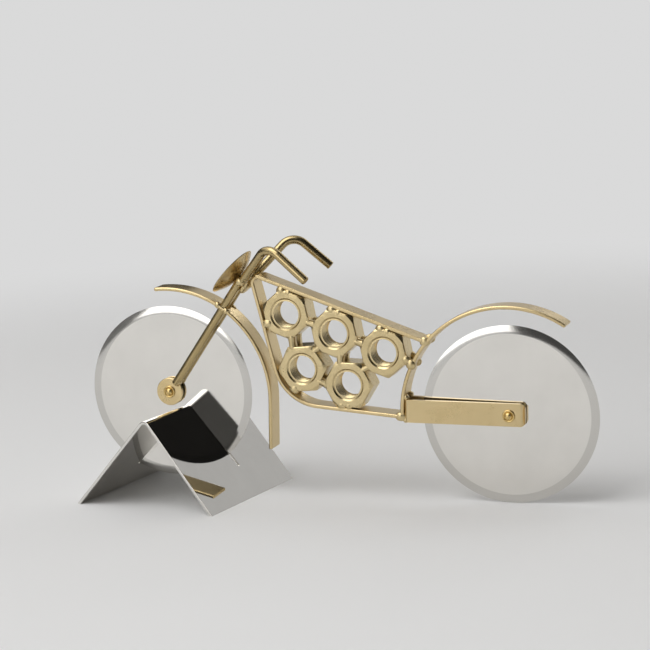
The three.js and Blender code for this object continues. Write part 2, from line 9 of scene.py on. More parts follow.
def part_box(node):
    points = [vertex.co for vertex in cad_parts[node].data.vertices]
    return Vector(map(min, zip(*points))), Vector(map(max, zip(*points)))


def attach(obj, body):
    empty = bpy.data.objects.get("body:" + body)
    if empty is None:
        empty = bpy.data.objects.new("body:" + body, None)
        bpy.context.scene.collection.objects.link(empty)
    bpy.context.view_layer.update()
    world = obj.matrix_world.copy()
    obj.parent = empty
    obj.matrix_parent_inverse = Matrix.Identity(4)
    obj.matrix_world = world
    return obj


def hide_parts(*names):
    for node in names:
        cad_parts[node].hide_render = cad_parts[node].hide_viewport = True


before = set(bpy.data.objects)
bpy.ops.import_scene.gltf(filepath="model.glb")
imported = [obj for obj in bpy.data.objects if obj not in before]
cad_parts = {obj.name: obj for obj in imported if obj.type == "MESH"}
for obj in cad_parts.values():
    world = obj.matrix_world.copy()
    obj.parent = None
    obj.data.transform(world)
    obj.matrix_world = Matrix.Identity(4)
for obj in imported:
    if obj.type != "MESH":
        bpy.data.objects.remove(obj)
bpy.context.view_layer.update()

bl_info = {
    "name": "Motorcycle pizza cutter",
    "version": (1, 0, 0),
    "blender": (4, 5, 0),
    "location": "View3D > Sidebar > Cutter",
    "description": "Builds the looks of a motorcycle pizza cutter and its stand around the packed model",
    "category": "Object",
}

MM = 0.001
SIDES = (("left", -1), ("right", 1))
NUTS = ("nut_1", "nut_2", "nut_3", "nut_4", "nut_5")
ON_SIDE = (math.pi / 2, 0, 0)  # lays a primitive's own axis along the axles
MERGE_DISTANCE = 1e-6  # within which points are one
AXIS_RING = 1e-5  # radius of the ring that stands for a point on a turned piece's axis
RUNNING_GAP = 0.3 * MM  # between a rivet and the bore round it


# Places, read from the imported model


def middle(node):
    """Middle of a CAD node's box."""
    low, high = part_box(node)
    return (low + high) / 2


def flat(point):
    """A point of the side view, without its depth."""
    return Vector((point.x, point.z))


def deep(point, y=0):
    """A point of the side view at a depth."""
    return Vector((point.x, y, point.y))


def heading(degrees):
    """Unit vector in the side view, counted from the bike's rear towards up."""
    return Vector((math.cos(math.radians(degrees)), math.sin(math.radians(degrees))))


REAR_AXLE = middle("rear_wheel")
FRONT_AXLE = middle("front_wheel")
WHEEL_RADIUS = (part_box("rear_wheel")[1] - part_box("rear_wheel")[0]).x / 2
WHEELBASE = (REAR_AXLE - FRONT_AXLE).length
PITCH = math.atan2(FRONT_AXLE.z - REAR_AXLE.z, REAR_AXLE.x - FRONT_AXLE.x)
# From the level bike, with its origin at the rear axle, to the bike on its stand
BIKE = Matrix.Translation(REAR_AXLE) @ Matrix.Rotation(PITCH, 4, "Y")
NUT_CENTRES = [flat(BIKE.inverted() @ middle(node)) for node in NUTS]


# Sizes and colours that a user would change


def length(name, description, millimetres):
    """A size, given here in millimetres and kept in metres."""
    return bpy.props.FloatProperty(name=name, description=description, default=millimetres * MM, min=0,
                                   precision=5, unit="LENGTH")


def degrees(name, description, value):
    """An angle, given here in degrees and kept in radians."""
    return bpy.props.FloatProperty(name=name, description=description, default=math.radians(value),
                                   subtype="ANGLE")


def colour(name, description, value):
    """A colour with linear red, green and blue."""
    return bpy.props.FloatVectorProperty(name=name, description=description, default=value, size=3,
                                         min=0, max=1, subtype="COLOR")


class CutterSizes(bpy.types.PropertyGroup):
    """Sizes of the cutter's pieces."""

    strip_width: length("Bar width", "Width of the flat bar", 12)
    strip_thickness: length("Bar thickness", "Thickness of the flat bar", 2)
    edge_round: length("Bar edge", "Rounding of the flat bar's long edges", 0.7)
    seat_gap: length("Seat gap", "Room between pieces that are welded together", 0.35)
    wheel_thickness: length("Wheel thickness", "Thickness of a cutting wheel", 1.2)
    bevel_width: length("Wheel bevel", "Width of the ground ring at a wheel's rim", 4.3)
    rivet_diameter: length("Rivet", "Diameter of an axle rivet", 4)
    rivet_head: length("Rivet head", "Diameter of a rivet's domed head", 6.6)
    nut_flats: length("Nut", "Width of a nut across its flats", 24)
    nut_thickness: length("Nut thickness", "Thickness of a nut", 13)
    nut_bore: length("Nut bore", "Diameter at the thread's crests", 14)
    thread_pitch: length("Thread pitch", "Distance between the thread's turns", 2)
    row_slope: degrees("Top rail slope", "Fall of the top rail to the rear", 17.8)
    down_slope: degrees("Down rail slope", "Slope of the rail behind the front wheel", 74.5)
    bottom_slope: degrees("Bottom rail slope", "Fall of the bottom rail to the rear", 2.9)
    lower_nut_turn: degrees("Lower nut turn", "Turn of the front nut of the lower row", 6.6)
    head_bend: length("Head bend", "Outer radius of the bend at the frame's head", 4)
    lower_bend: length("Lower bend", "Outer radius of the bend under the nuts", 26.5)
    rod_diameter: length("Fork rod", "Diameter of a fork rod", 4.4)
    fork_spread: length("Fork spread", "Distance between the fork rods", 7)
    eye_diameter: length("Fork eye", "Diameter of the round eye at a fork rod's end", 15)
    eye_thickness: length("Eye thickness", "Thickness of a fork eye", 1.8)
    eye_spread: length("Eye spread", "Distance between the fork eyes", 5.6)
    arms_end: length("Rear fork end", "Width across the ends of the rear fork's arms", 7.6)
    bar_diameter: length("Handlebar", "Diameter of a handlebar", 4.6)
    bar_bend: length("Handlebar bend", "Radius of a handlebar's bend", 8.5)
    dish_diameter: length("Headlight", "Diameter of the headlight dish", 29)
    dish_depth: length("Headlight depth", "Depth of the headlight dish", 4.8)
    stand_height: length("Stand height", "Height of the sharp corner of the stand's fold", 49.9)
    stand_front: length("Stand front", "Reach of the stand's front leg", 47.2)
    stand_rear: length("Stand rear", "Reach of the stand's rear leg", 38.8)
    stand_length: length("Stand length", "Length of the stand's ridge", 84)
    stand_sheet: length("Stand sheet", "Thickness of the stand's sheet", 1.5)
    stand_turn: degrees("Stand turn", "Turn of the stand's ridge from square to the wheel", 9.7)


class CutterFinish(bpy.types.PropertyGroup):
    """Colours of the cutter's finishes and of the stage."""

    plating: colour("Plating", "Satin gold plating of the flat bar", (0.73, 0.58, 0.325))
    nut_plating: colour("Nut plating", "Gold plating of the nuts", (0.70, 0.57, 0.325))
    # The rods' gold is the bars' gold darkened as painted shade, standing in for the dark reflections along
    # the rods.
    rod_plating: colour("Rod plating", "Gold plating of the round rods", (0.50, 0.39, 0.20))
    weld: colour("Weld", "Plated weld metal", (0.69, 0.56, 0.315))
    rivet: colour("Rivet", "Plated rivet heads", (0.74, 0.55, 0.24))
    blade: colour("Blade", "Polished steel of the wheels", (0.835, 0.815, 0.775))
    sheet: colour("Stand sheet", "Polished steel of the stand", (0.81, 0.79, 0.75))
    floor: colour("Floor", "Pale floor and backdrop", (0.80, 0.80, 0.80))


# Small steps that every piece uses


def sizes():
    """Sizes in use."""
    return bpy.context.scene.cutter_sizes


def finish_colours():
    """Colours in use."""
    return bpy.context.scene.cutter_finish


def make_active(piece):
    """Selects one piece and nothing else."""
    if bpy.context.object and bpy.context.object.mode != "OBJECT":
        bpy.ops.object.mode_set(mode="OBJECT")
    bpy.ops.object.select_all(action="DESELECT")
    piece.select_set(True)
    bpy.context.view_layer.objects.active = piece


def name_new(name):
    """Names the object that was just added."""
    piece = bpy.context.object
    piece.name = name
    piece.data.name = name
    return piece


def settle(piece):
    """Puts a piece's place into its mesh."""
    make_active(piece)
    bpy.ops.object.transform_apply(location=True, rotation=True, scale=True)


def add_piece(add, name, scale=(1, 1, 1), **values):
    """Adds a mesh primitive, names it and settles it."""
    add(**values)
    piece = name_new(name)
    piece.scale = scale
    settle(piece)
    return piece


def edit_all(piece):
    """Opens a piece in edit mode, with all of it selected."""
    make_active(piece)
    bpy.ops.object.mode_set(mode="EDIT")
    bpy.ops.mesh.select_all(action="SELECT")


def close_edit():
    """Goes back to object mode."""
    bpy.ops.object.mode_set(mode="OBJECT")


def join_pieces(pieces, name):
    """Makes one piece of several."""
    make_active(pieces[0])
    for piece in pieces:
        piece.select_set(True)
    bpy.ops.object.join()
    return name_new(name)


def move_to(piece, matrix):
    """Carries a piece to its place and settles it there."""
    piece.matrix_world = matrix @ piece.matrix_world
    settle(piece)


def apply_modifier(piece, kind, **values):
    """Adds a modifier with these values and applies it."""
    make_active(piece)
    modifier = piece.modifiers.new(kind.title(), kind)
    for name, value in values.items():
        setattr(modifier, name, value)
    bpy.ops.object.modifier_apply(modifier=modifier.name)


def clean(piece):
    """Merges doubles and turns every face outwards."""
    edit_all(piece)
    bpy.ops.mesh.remove_doubles(threshold=MERGE_DISTANCE)
    bpy.ops.mesh.normals_make_consistent(inside=False)
    close_edit()


def smooth(piece, angle=30):
    """Smooth shading with edges sharper than an angle kept, and flat faces flat up to their rounded edges."""
    make_active(piece)
    bpy.ops.object.shade_smooth_by_angle(angle=math.radians(angle))
    apply_modifier(piece, "WEIGHTED_NORMAL", weight=100, keep_sharp=True)


def round_edges(piece, width, segments=4, angle=35):
    """Rounds the edges that are sharper than an angle."""
    apply_modifier(piece, "BEVEL", width=width, segments=segments, limit_method="ANGLE",
                   angle_limit=math.radians(angle), miter_outer="MITER_ARC", use_clamp_overlap=True)


def bevel_selected(piece, offset, segments):
    """Rounds a piece's selected edges, which are all of them on a new primitive."""
    make_active(piece)
    bpy.ops.object.mode_set(mode="EDIT")
    bpy.ops.mesh.select_mode(type="EDGE")
    bpy.ops.mesh.bevel(offset=offset, segments=segments, affect="EDGES")
    bpy.ops.mesh.select_mode(type="VERT")
    close_edit()


def cut_away(piece, tool, operation="DIFFERENCE"):
    """Takes a tool's shape out of a piece, and removes the tool."""
    apply_modifier(piece, "BOOLEAN", object=tool, operation=operation, solver="EXACT")
    bpy.data.objects.remove(tool)


def copy_piece(piece, name):
    """A copy with a mesh of its own."""
    make_active(piece)
    bpy.ops.object.duplicate(linked=False)
    return name_new(name)


def finish_piece(piece, material, body, slot, *nodes):
    """Gives a piece its material, its body and the CAD nodes it stands for. The slot is not used."""
    piece.data.materials.clear()
    piece.data.materials.append(material)
    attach(piece, body)
    if nodes:
        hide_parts(*nodes)


def plate(piece, finish, *nodes):
    """Finishes a plated piece of the frame."""
    finish_piece(piece, material(finish), "frame", "plated_bar", *nodes)


def finish_bar(piece, node, place=BIKE):
    """Rounds a flat bar's edges, carries it to its place and plates it."""
    round_edges(piece, sizes().edge_round)
    smooth(piece)
    move_to(piece, place)
    plate(piece, "bar_plating", node)


def finish_rod(piece, node):
    """Carries a round rod to its place and plates it with the rods' gold, darkened as painted shade."""
    move_to(piece, BIKE)
    plate(piece, "rod_plating", node)


def turn_end(centre, axis, angle, steps):
    """Sweeps the selected end round an axis, by the right-hand rule."""
    bpy.ops.mesh.spin(steps=steps, angle=-angle, center=centre, axis=axis)


def run_end(step):
    """Draws the selected end out along a straight step."""
    bpy.ops.mesh.extrude_region_move(TRANSFORM_OT_translate={"value": step})


def bend_along(corners, radii, steps):
    """Draws the selected end along corners, with a bend radius at each one between the first and the last."""
    place = corners[0]
    along = (corners[1] - corners[0]).normalized()
    for corner, following, radius in zip(corners[1:], corners[2:], radii):
        ahead = (following - corner).normalized()
        angle = along.angle(ahead)
        axis = along.cross(ahead).normalized()
        tangent = radius * math.tan(angle / 2)
        bend_start = corner - along * tangent
        run_end(bend_start - place)
        turn_end(bend_start + axis.cross(along) * radius, axis, angle, steps)
        place = corner + ahead * tangent
        along = ahead
    run_end(corners[-1] - place)
    close_edit()


def bar_section(name, width, thickness, place, along):
    """A flat bar's cross-section, square to its heading in the side view, ready in edit mode."""
    piece = add_piece(bpy.ops.mesh.primitive_plane_add, name, (thickness, width, 1), size=1,
                      location=deep(place), rotation=(0, math.atan2(along.x, along.y), 0))
    edit_all(piece)
    return piece


def bend_bar(name, width, thickness, corners, radii, steps):
    """A flat bar bent in the side view along its middle line's corners, each with a bend radius."""
    piece = bar_section(name, width, thickness, corners[0], corners[1] - corners[0])
    bend_along([deep(corner) for corner in corners], radii, steps)
    clean(piece)
    return piece


def arc_bar(name, width, thickness, centre, radius, start, end, steps, tail=0):
    """A flat bar bent to an arc between two angles in degrees, clockwise, with a straight tail at its end."""
    piece = bar_section(name, width, thickness, centre + heading(start) * radius, heading(start - 90))
    turn_end(deep(centre), (0, 1, 0), math.radians(start - end), steps)
    if tail:
        run_end(deep(heading(end - 90) * tail))
    close_edit()
    clean(piece)
    return piece


def slice_off(piece, place, outward):
    """Cuts off what lies beyond a plane in the side view, and closes the end."""
    edit_all(piece)
    bpy.ops.mesh.bisect(plane_co=deep(place), plane_no=deep(outward), use_fill=True, clear_outer=True)
    close_edit()


ROD_SIDES = 40
ROD_END_ANGLE = 60  # degrees; only the end faces' edges are sharper


def bend_rod(name, diameter, corners, radii, end_round, steps=20):
    """A round rod bent at its corners, with rounded ends."""
    along = (corners[1] - corners[0]).normalized()
    piece = add_piece(bpy.ops.mesh.primitive_circle_add, name, vertices=ROD_SIDES, radius=diameter / 2,
                      fill_type="NGON", location=corners[0],
                      rotation=along.to_track_quat("Z", "Y").to_euler())
    edit_all(piece)
    bend_along(corners, radii, steps)
    clean(piece)
    round_edges(piece, end_round, 3, ROD_END_ANGLE)
    smooth(piece)
    return piece


def turned(name, profile, ring_sides):
    """A turned piece about the Y axis, from rings of radius and place along the axle.

    A profile that doesn't start and end on the axis closes on itself."""
    rings = [(max(radius, AXIS_RING), place) for radius, place in profile]
    radius, place = rings[0]
    piece = add_piece(bpy.ops.mesh.primitive_circle_add, name, vertices=ring_sides, radius=radius,
                      fill_type="NOTHING", location=(0, place, 0), rotation=ON_SIDE)
    edit_all(piece)
    if profile[0][0] == 0:
        bpy.ops.mesh.edge_face_add()
    for wider, further in rings[1:]:
        bpy.ops.mesh.extrude_edges_move(TRANSFORM_OT_translate={"value": (0, further - place, 0)})
        scale = wider / radius
        bpy.ops.transform.resize(value=(scale, 1, scale), center_override=(0, further, 0))
        radius, place = wider, further
    if profile[-1][0] == 0:
        bpy.ops.mesh.edge_face_add()
    close_edit()
    clean(piece)
    return piece


def mirrored(profile):
    """A turned profile carried on, in reverse, on the other side of the middle."""
    return [(radius, -place) for radius, place in reversed(profile)]


# Materials


def new_group(name, inputs, outputs):
    """A shader node group with float sockets, or vectors where an input's default is a tuple."""
    group = bpy.data.node_groups.new(name, "ShaderNodeTree")
    for socket, default in inputs.items():
        kind = "NodeSocketVector" if isinstance(default, tuple) else "NodeSocketFloat"
        made = group.interface.new_socket(socket, in_out="INPUT", socket_type=kind)
        made.default_value = default
    for socket in outputs:
        group.interface.new_socket(socket, in_out="OUTPUT", socket_type="NodeSocketFloat")
    return group, group.nodes.new("NodeGroupInput"), group.nodes.new("NodeGroupOutput")


def feed(tree, node, inputs):
    """Feeds a node's inputs with sockets or values."""
    for name, value in inputs.items():
        if isinstance(value, bpy.types.NodeSocket):
            tree.links.new(value, node.inputs[name])
        else:
            node.inputs[name].default_value = value


def add_node(tree, kind, inputs, **settings):
    """A new node with these settings, its inputs fed."""
    node = tree.nodes.new(kind)
    for name, value in settings.items():
        setattr(node, name, value)
    feed(tree, node, inputs)
    return node


def add_math(tree, operation, *values):
    """A Math node fed by sockets or numbers; gives its output."""
    return add_node(tree, "ShaderNodeMath", dict(enumerate(values)), operation=operation).outputs[0]


def add_noise(tree, vector, scale, detail=2, roughness=0.5):
    """A noise texture on a vector socket; gives its value."""
    inputs = {"Vector": vector, "Scale": scale, "Detail": detail, "Roughness": roughness}
    return add_node(tree, "ShaderNodeTexNoise", inputs).outputs["Fac"]


def plating_group():
    """Plated metal: cloudy tone, slightly uneven gloss and a soft ripple from the steel under the plating."""
    group, source, target = new_group(
        "plating_surface", {"Vector": (0, 0, 0), "Ripple scale": 260.0, "Cloud scale": 45.0},
        ("Tone", "Gloss", "Height"))
    vector = source.outputs["Vector"]
    speck_share = 0.35
    pit_level, pit_depth = 0.71, 0.35
    clouds = add_noise(group, vector, source.outputs["Cloud scale"], detail=3, roughness=0.55)
    ripple = add_noise(group, vector, source.outputs["Ripple scale"], detail=2, roughness=0.45)
    specks = add_noise(group, vector, scale=2600, detail=2, roughness=0.6)
    pits = add_math(group, "GREATER_THAN", specks, pit_level)
    gloss = add_math(group, "MULTIPLY_ADD", specks, speck_share, clouds)
    height = add_math(group, "MULTIPLY_ADD", pits, -pit_depth, ripple)
    feed(group, target, {"Tone": clouds, "Gloss": gloss, "Height": height})
    return group


def polish_group():
    """Polished steel: fine lines left by the polishing wheel, across a coordinate, and handling marks."""
    group, source, target = new_group(
        "polish_lines", {"Vector": (0, 0, 0), "Across": 0.0, "Lines": 9000.0}, ("Tone", "Gloss", "Height"))
    line_share = 0.5
    inputs = {"W": source.outputs["Across"], "Scale": source.outputs["Lines"], "Detail": 3, "Roughness": 0.7}
    lines = add_node(group, "ShaderNodeTexNoise", inputs, noise_dimensions="1D").outputs["Fac"]
    smears = add_noise(group, source.outputs["Vector"], scale=38, detail=3, roughness=0.6)
    gloss = add_math(group, "MULTIPLY_ADD", lines, line_share, smears)
    feed(group, target, {"Tone": smears, "Gloss": gloss, "Height": lines})
    return group


def new_material(name):
    """A node material with a metallic Principled shader; gives the material, its tree and the shader."""
    material = bpy.data.materials.new(name)
    material.use_nodes = True
    shader = material.node_tree.nodes["Principled BSDF"]
    shader.inputs["Metallic"].default_value = 1.0
    return material, material.node_tree, shader


def surface_coordinates(tree, centre=(0, 0, 0), turn=0):
    """Object coordinates, counted from a centre and turned about the upright axis."""
    source = tree.nodes.new("ShaderNodeTexCoord").outputs["Object"]
    inputs = {"Vector": source, "Location": -Vector(centre), "Rotation": (0, 0, turn)}
    return add_node(tree, "ShaderNodeMapping", inputs).outputs["Vector"]


def tone_mix(tree, tone, dark, light, low=0.35, high=0.65):
    """A colour between two, by a tone."""
    ramp = tree.nodes.new("ShaderNodeValToRGB")
    ramp.color_ramp.elements[0].position = low
    ramp.color_ramp.elements[0].color = (*dark, 1)
    ramp.color_ramp.elements[1].position = high
    ramp.color_ramp.elements[1].color = (*light, 1)
    tree.links.new(tone, ramp.inputs["Fac"])
    return ramp.outputs["Color"]


def map_range(tree, value, source, target=(0, 1), kind="SMOOTHSTEP"):
    """A value laid from one range over another."""
    names = ("Value", "From Min", "From Max", "To Min", "To Max")
    inputs = dict(zip(names, (value, *source, *target)))
    return add_node(tree, "ShaderNodeMapRange", inputs, interpolation_type=kind).outputs["Result"]


NOISE_RANGE = (0.3, 0.9)  # in which a group's gloss lies


def roughness(tree, surface, gloss):
    """A surface group's gloss, laid over a range of roughness."""
    return map_range(tree, surface["Gloss"], NOISE_RANGE, gloss, "LINEAR")


def shaded(base, share):
    """A colour at a share of its strength."""
    return tuple(value * share for value in base)


def split(tree, vector):
    """The coordinates of a vector socket, by name."""
    return add_node(tree, "ShaderNodeSeparateXYZ", {"Vector": vector}).outputs


def distance_by(tree, coordinates, *axes):
    """Distance from the origin, counted along two axes."""
    squares = [add_math(tree, "MULTIPLY", coordinates[axis], coordinates[axis]) for axis in axes]
    return add_math(tree, "SQRT", add_math(tree, "ADD", *squares))


def add_surface(tree, group, inputs):
    """The outputs of one of the surface groups."""
    return add_node(tree, "ShaderNodeGroup", inputs, node_tree=bpy.data.node_groups[group]).outputs


def add_bump(tree, height, strength, distance):
    """A bump on the surface; gives its normal."""
    inputs = {"Height": height, "Strength": strength, "Distance": distance}
    return add_node(tree, "ShaderNodeBump", inputs).outputs["Normal"]


PLATING_SHADE = (0.93, 0.91, 0.86)  # darkest tone of a plating, in red, green and blue
PLATING_RIPPLE = 0.2 * MM  # height of the ripple at full strength
STEEL_SHADE = 0.95  # darkest tone of polished steel
STEEL_LINES = 0.1 * MM  # height of the polishing lines at full strength
BLADE_GLOSS = (0.02, 0.05)
BLADE_LINES, BLADE_BUMP = 5200, 0.02  # scale and strength of its polishing lines
BEVEL_PAINTED_SHADE = 0.78  # painted shade: colour of the ground bevel darkened beside the polished flat; its extra roughness is the real ground finish
BEVEL_MATTER = 0.05  # by which the bevel is rougher
SHEET_GLOSS = (0.015, 0.045)
SHEET_LINES, SHEET_BUMP = 3000, 0.012
# A Mix node's sockets for the factor and the two values
COLOUR_MIX = (0, 6, 7)
FLOAT_MIX = (0, 2, 3)


def plated_material(name, base, gloss, ripple, bump):
    """Gold plating over steel."""
    material, tree, shader = new_material(name)
    inputs = {"Vector": surface_coordinates(tree), "Ripple scale": ripple}
    surface = add_surface(tree, "plating_surface", inputs)
    dark = tuple(value * shade for value, shade in zip(base, PLATING_SHADE))
    feed(tree, shader, {
        "Base Color": tone_mix(tree, surface["Tone"], dark, base),
        "Roughness": roughness(tree, surface, gloss),
        "Normal": add_bump(tree, surface["Height"], bump, PLATING_RIPPLE),
    })
    return material


def blade_material(name, base, centre):
    """Polished blade steel: rings from polishing on the flat, and a ground bevel at the rim, rougher and
    darkened with painted shade.
    """
    material, tree, shader = new_material(name)
    vector = surface_coordinates(tree, centre)
    radius = distance_by(tree, split(tree, vector), "X", "Z")
    surface = add_surface(tree, "polish_lines", {"Vector": vector, "Across": radius, "Lines": BLADE_LINES})
    bevel = add_math(tree, "GREATER_THAN", radius, WHEEL_RADIUS - sizes().bevel_width)
    polish = tone_mix(tree, surface["Tone"], shaded(base, STEEL_SHADE), base)
    # The bevel's darker colour is painted shade.
    ground = (*shaded(base, BEVEL_PAINTED_SHADE), 1)
    inputs = dict(zip(COLOUR_MIX, (bevel, polish, ground)))
    polished = roughness(tree, surface, BLADE_GLOSS)
    feed(tree, shader, {
        "Base Color": add_node(tree, "ShaderNodeMix", inputs, data_type="RGBA").outputs[2],
        "Roughness": add_math(tree, "MULTIPLY_ADD", bevel, BEVEL_MATTER, polished),
        "Normal": add_bump(tree, surface["Height"], BLADE_BUMP, STEEL_LINES),
    })
    return material


def sheet_material(name, base, turn):
    """Polished stainless sheet, with faint rolling lines along the stand's ridge."""
    material, tree, shader = new_material(name)
    vector = surface_coordinates(tree, turn=turn)
    parts = split(tree, vector)
    across = add_math(tree, "ADD", parts["X"], parts["Z"])
    surface = add_surface(tree, "polish_lines", {"Vector": vector, "Across": across, "Lines": SHEET_LINES})
    feed(tree, shader, {
        "Base Color": tone_mix(tree, surface["Tone"], shaded(base, STEEL_SHADE), base),
        "Roughness": roughness(tree, surface, SHEET_GLOSS),
        "Normal": add_bump(tree, surface["Height"], SHEET_BUMP, STEEL_LINES),
    })
    return material


# Colour, range of roughness, scale of the ripple and its strength
PLATINGS = {
    "bar_plating": ("plating", (0.20, 0.34), 300, 0.22),
    "nut_plating": ("nut_plating", (0.17, 0.32), 420, 0.25),
    # The rods' plating is the bars' gold darkened as painted shade.
    "rod_plating": ("rod_plating", (0.20, 0.29), 240, 0.015),
    "rivet_plating": ("rivet", (0.24, 0.40), 500, 0.3),
    "weld_plating": ("weld", (0.24, 0.36), 700, 0.3),
}
BLADES = {"front_blade": FRONT_AXLE, "rear_blade": REAR_AXLE}


def material(name):
    """One of the cutter's materials, made with its first piece."""
    found = bpy.data.materials.get(name)
    if found:
        return found
    if "plating_surface" not in bpy.data.node_groups:
        plating_group()
        polish_group()
    colours = finish_colours()
    if name in PLATINGS:
        base, *surface = PLATINGS[name]
        return plated_material(name, getattr(colours, base), *surface)
    if name in BLADES:
        return blade_material(name, colours.blade, BLADES[name])
    return sheet_material(name, colours.sheet, sizes().stand_turn)


# Layout of the level bike, in its side view


def nut_turns():
    """Turn of each nut, in degrees."""
    row = -math.degrees(sizes().row_slope)
    return [row, row, row, math.degrees(sizes().lower_nut_turn), 0]


def nut_outline(index):
    """Corners of a nut."""
    radius = sizes().nut_flats / math.sqrt(3)
    start = nut_turns()[index]
    return [NUT_CENTRES[index] + heading(start + 60 * step) * radius for step in range(6)]


class Rail:
    """A straight stretch of the frame loop, just outside the nuts on its side."""

    def __init__(self, slope, outward):
        values = sizes()
        self.along = heading(-math.degrees(slope))
        self.normal = heading(outward - math.degrees(slope))
        corners = [corner for index in range(len(NUTS)) for corner in nut_outline(index)]
        reach = max(corner.dot(self.normal) for corner in corners)
        self.outer = reach + values.seat_gap + values.strip_thickness

    def crossing(self, other, depth):
        """Where two rails cross, at a depth below their outer faces."""
        first, second = self.normal, other.normal
        reach, other_reach = self.outer - depth, other.outer - depth
        turn = first.x * second.y - first.y * second.x
        x = reach * second.y - other_reach * first.y
        z = first.x * other_reach - second.x * reach
        return Vector((x / turn, z / turn))


def rails():
    """Top, down and bottom rail."""
    values = sizes()
    return Rail(values.row_slope, 90), Rail(values.down_slope, -90), Rail(values.bottom_slope, -90)


def head_centre():
    """Middle of the bend at the frame's head."""
    top, down, _ = rails()
    corner = top.crossing(down, 0)
    half = (sizes().down_slope - sizes().row_slope) / 2
    return corner + (top.along + down.along).normalized() * (sizes().head_bend / math.sin(half))


FORK_SET_BACK = 0.7 * MM  # of the fork rods behind the front axle
FORK_HEAD_GAP = 2.9 * MM  # between the fork rods and the head's bend
FORK_TOP_DROP = 5.4 * MM  # from the rods' ends to the level of the head's bend


def fork_line():
    """Foot, heading in degrees, and top end of the fork rods."""
    foot = Vector((FORK_SET_BACK - WHEELBASE, 0))
    to_head = head_centre() - foot
    distance = sizes().head_bend + FORK_HEAD_GAP + sizes().rod_diameter / 2
    rake = math.degrees(math.atan2(to_head.y, to_head.x) + math.asin(distance / to_head.length))
    reach = math.sqrt(to_head.length_squared - distance ** 2) - FORK_TOP_DROP
    return foot, rake, foot + heading(rake) * reach


# Pieces


WHEEL_SIDES = 240
BEVEL_STEPS = 12
BEVEL_CROWN = 0.55  # share of the bevel's fall that grows towards the rim
CUTTING_EDGE = 0.12 * MM  # half of the rim's thickness
RIM_SPARE = 0.02 * MM  # of the rim inside the CAD wheel
BORE_EASE = 0.15 * MM  # chamfer of the bore
BORE_RING = 2 * MM  # from the bore to a ring that keeps the side flat
BEVEL_RING = 0.4 * MM  # from the bevel to another
WHEEL_SMOOTHING = 2.4  # degrees; the bevel's inner edge is sharper and stays


class CUTTER_OT_wheels(bpy.types.Operator):
    """Turns both cutting wheels, with a ground bevel at the rim"""

    bl_idname = "cutter.wheels"
    bl_label = "Cutting wheels"

    def execute(self, context):
        values = sizes()
        half = values.wheel_thickness / 2
        bore = values.rivet_diameter / 2 + RUNNING_GAP
        flat_edge = WHEEL_RADIUS - values.bevel_width
        width = values.bevel_width - RIM_SPARE
        bevel = []
        for step in range(BEVEL_STEPS + 1):
            share = step / BEVEL_STEPS
            fall = (1 - BEVEL_CROWN) * share + BEVEL_CROWN * share ** 2
            bevel.append((flat_edge + width * share, half - (half - CUTTING_EDGE) * fall))
        side = [(bore + BORE_EASE, half), (bore + BORE_RING, half), (flat_edge - BEVEL_RING, half)] + bevel
        inner = [(bore, BORE_EASE - half), (bore, half - BORE_EASE)]
        profile = side + mirrored(side) + inner + side[:1]
        wheel = turned("front_wheel_blade", profile, WHEEL_SIDES)
        smooth(wheel, WHEEL_SMOOTHING)
        rear = copy_piece(wheel, "rear_wheel_blade")
        for piece, axle, end in ((wheel, FRONT_AXLE, "front"), (rear, REAR_AXLE, "rear")):
            move_to(piece, Matrix.Translation(axle))
            finish_piece(piece, material(f"{end}_blade"), f"{end}_wheel", "blade", f"{end}_wheel")
        return {"FINISHED"}


# A rivet head's rim, in shares of its radius and millimetres above its seat
RIVET_RIM = ((0.96, 0), (1, 0.15), (1, 0.55), (0.95, 0.75), (0.86, 0.82), (0.72, 0.6), (0.64, 0.42))
RIVET_DOME = 0.62  # share of the head's radius
RIVET_DOME_FOOT = 0.42 * MM  # above the seat
RIVET_DOME_RISE = 1.5 * MM


class CUTTER_OT_axles(bpy.types.Operator):
    """Turns the axle rivets with their domed heads, and dresses the spacers"""

    bl_idname = "cutter.axles"
    bl_label = "Axle rivets"

    def execute(self, context):
        values = sizes()
        widths = {"front": values.eye_spread + values.eye_thickness, "rear": 2 * fork_arm(0)}
        shank = values.rivet_diameter / 2
        head = values.rivet_head / 2
        for end, axle in (("front", FRONT_AXLE), ("rear", REAR_AXLE)):
            seat = widths[end] / 2
            rim = [(shank, seat)] + [(head * share, seat + rise * MM) for share, rise in RIVET_RIM]
            foot = seat + RIVET_DOME_FOOT
            crown = []
            for rise in range(10, 90, 10):
                point = heading(rise)
                crown.append((head * RIVET_DOME * point.x, foot + RIVET_DOME_RISE * point.y))
            upper = rim + crown + [(0, foot + RIVET_DOME_RISE)]
            rivet = turned(f"{end}_rivet", mirrored(upper) + upper, 48)
            smooth(rivet, 40)
            move_to(rivet, Matrix.Translation(axle))
            plate(rivet, "rivet_plating", f"{end}_axle_rivet")
            for side, _ in SIDES:
                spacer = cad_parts[f"{end}_spacer_{side}"]
                spacer.data.materials.clear()
                spacer.data.materials.append(material("bar_plating"))
        return {"FINISHED"}


TOP_RAIL_STOCK = 120 * MM  # before the rail is cut at the rear fender
BOTTOM_RAIL_STOCK = 80 * MM


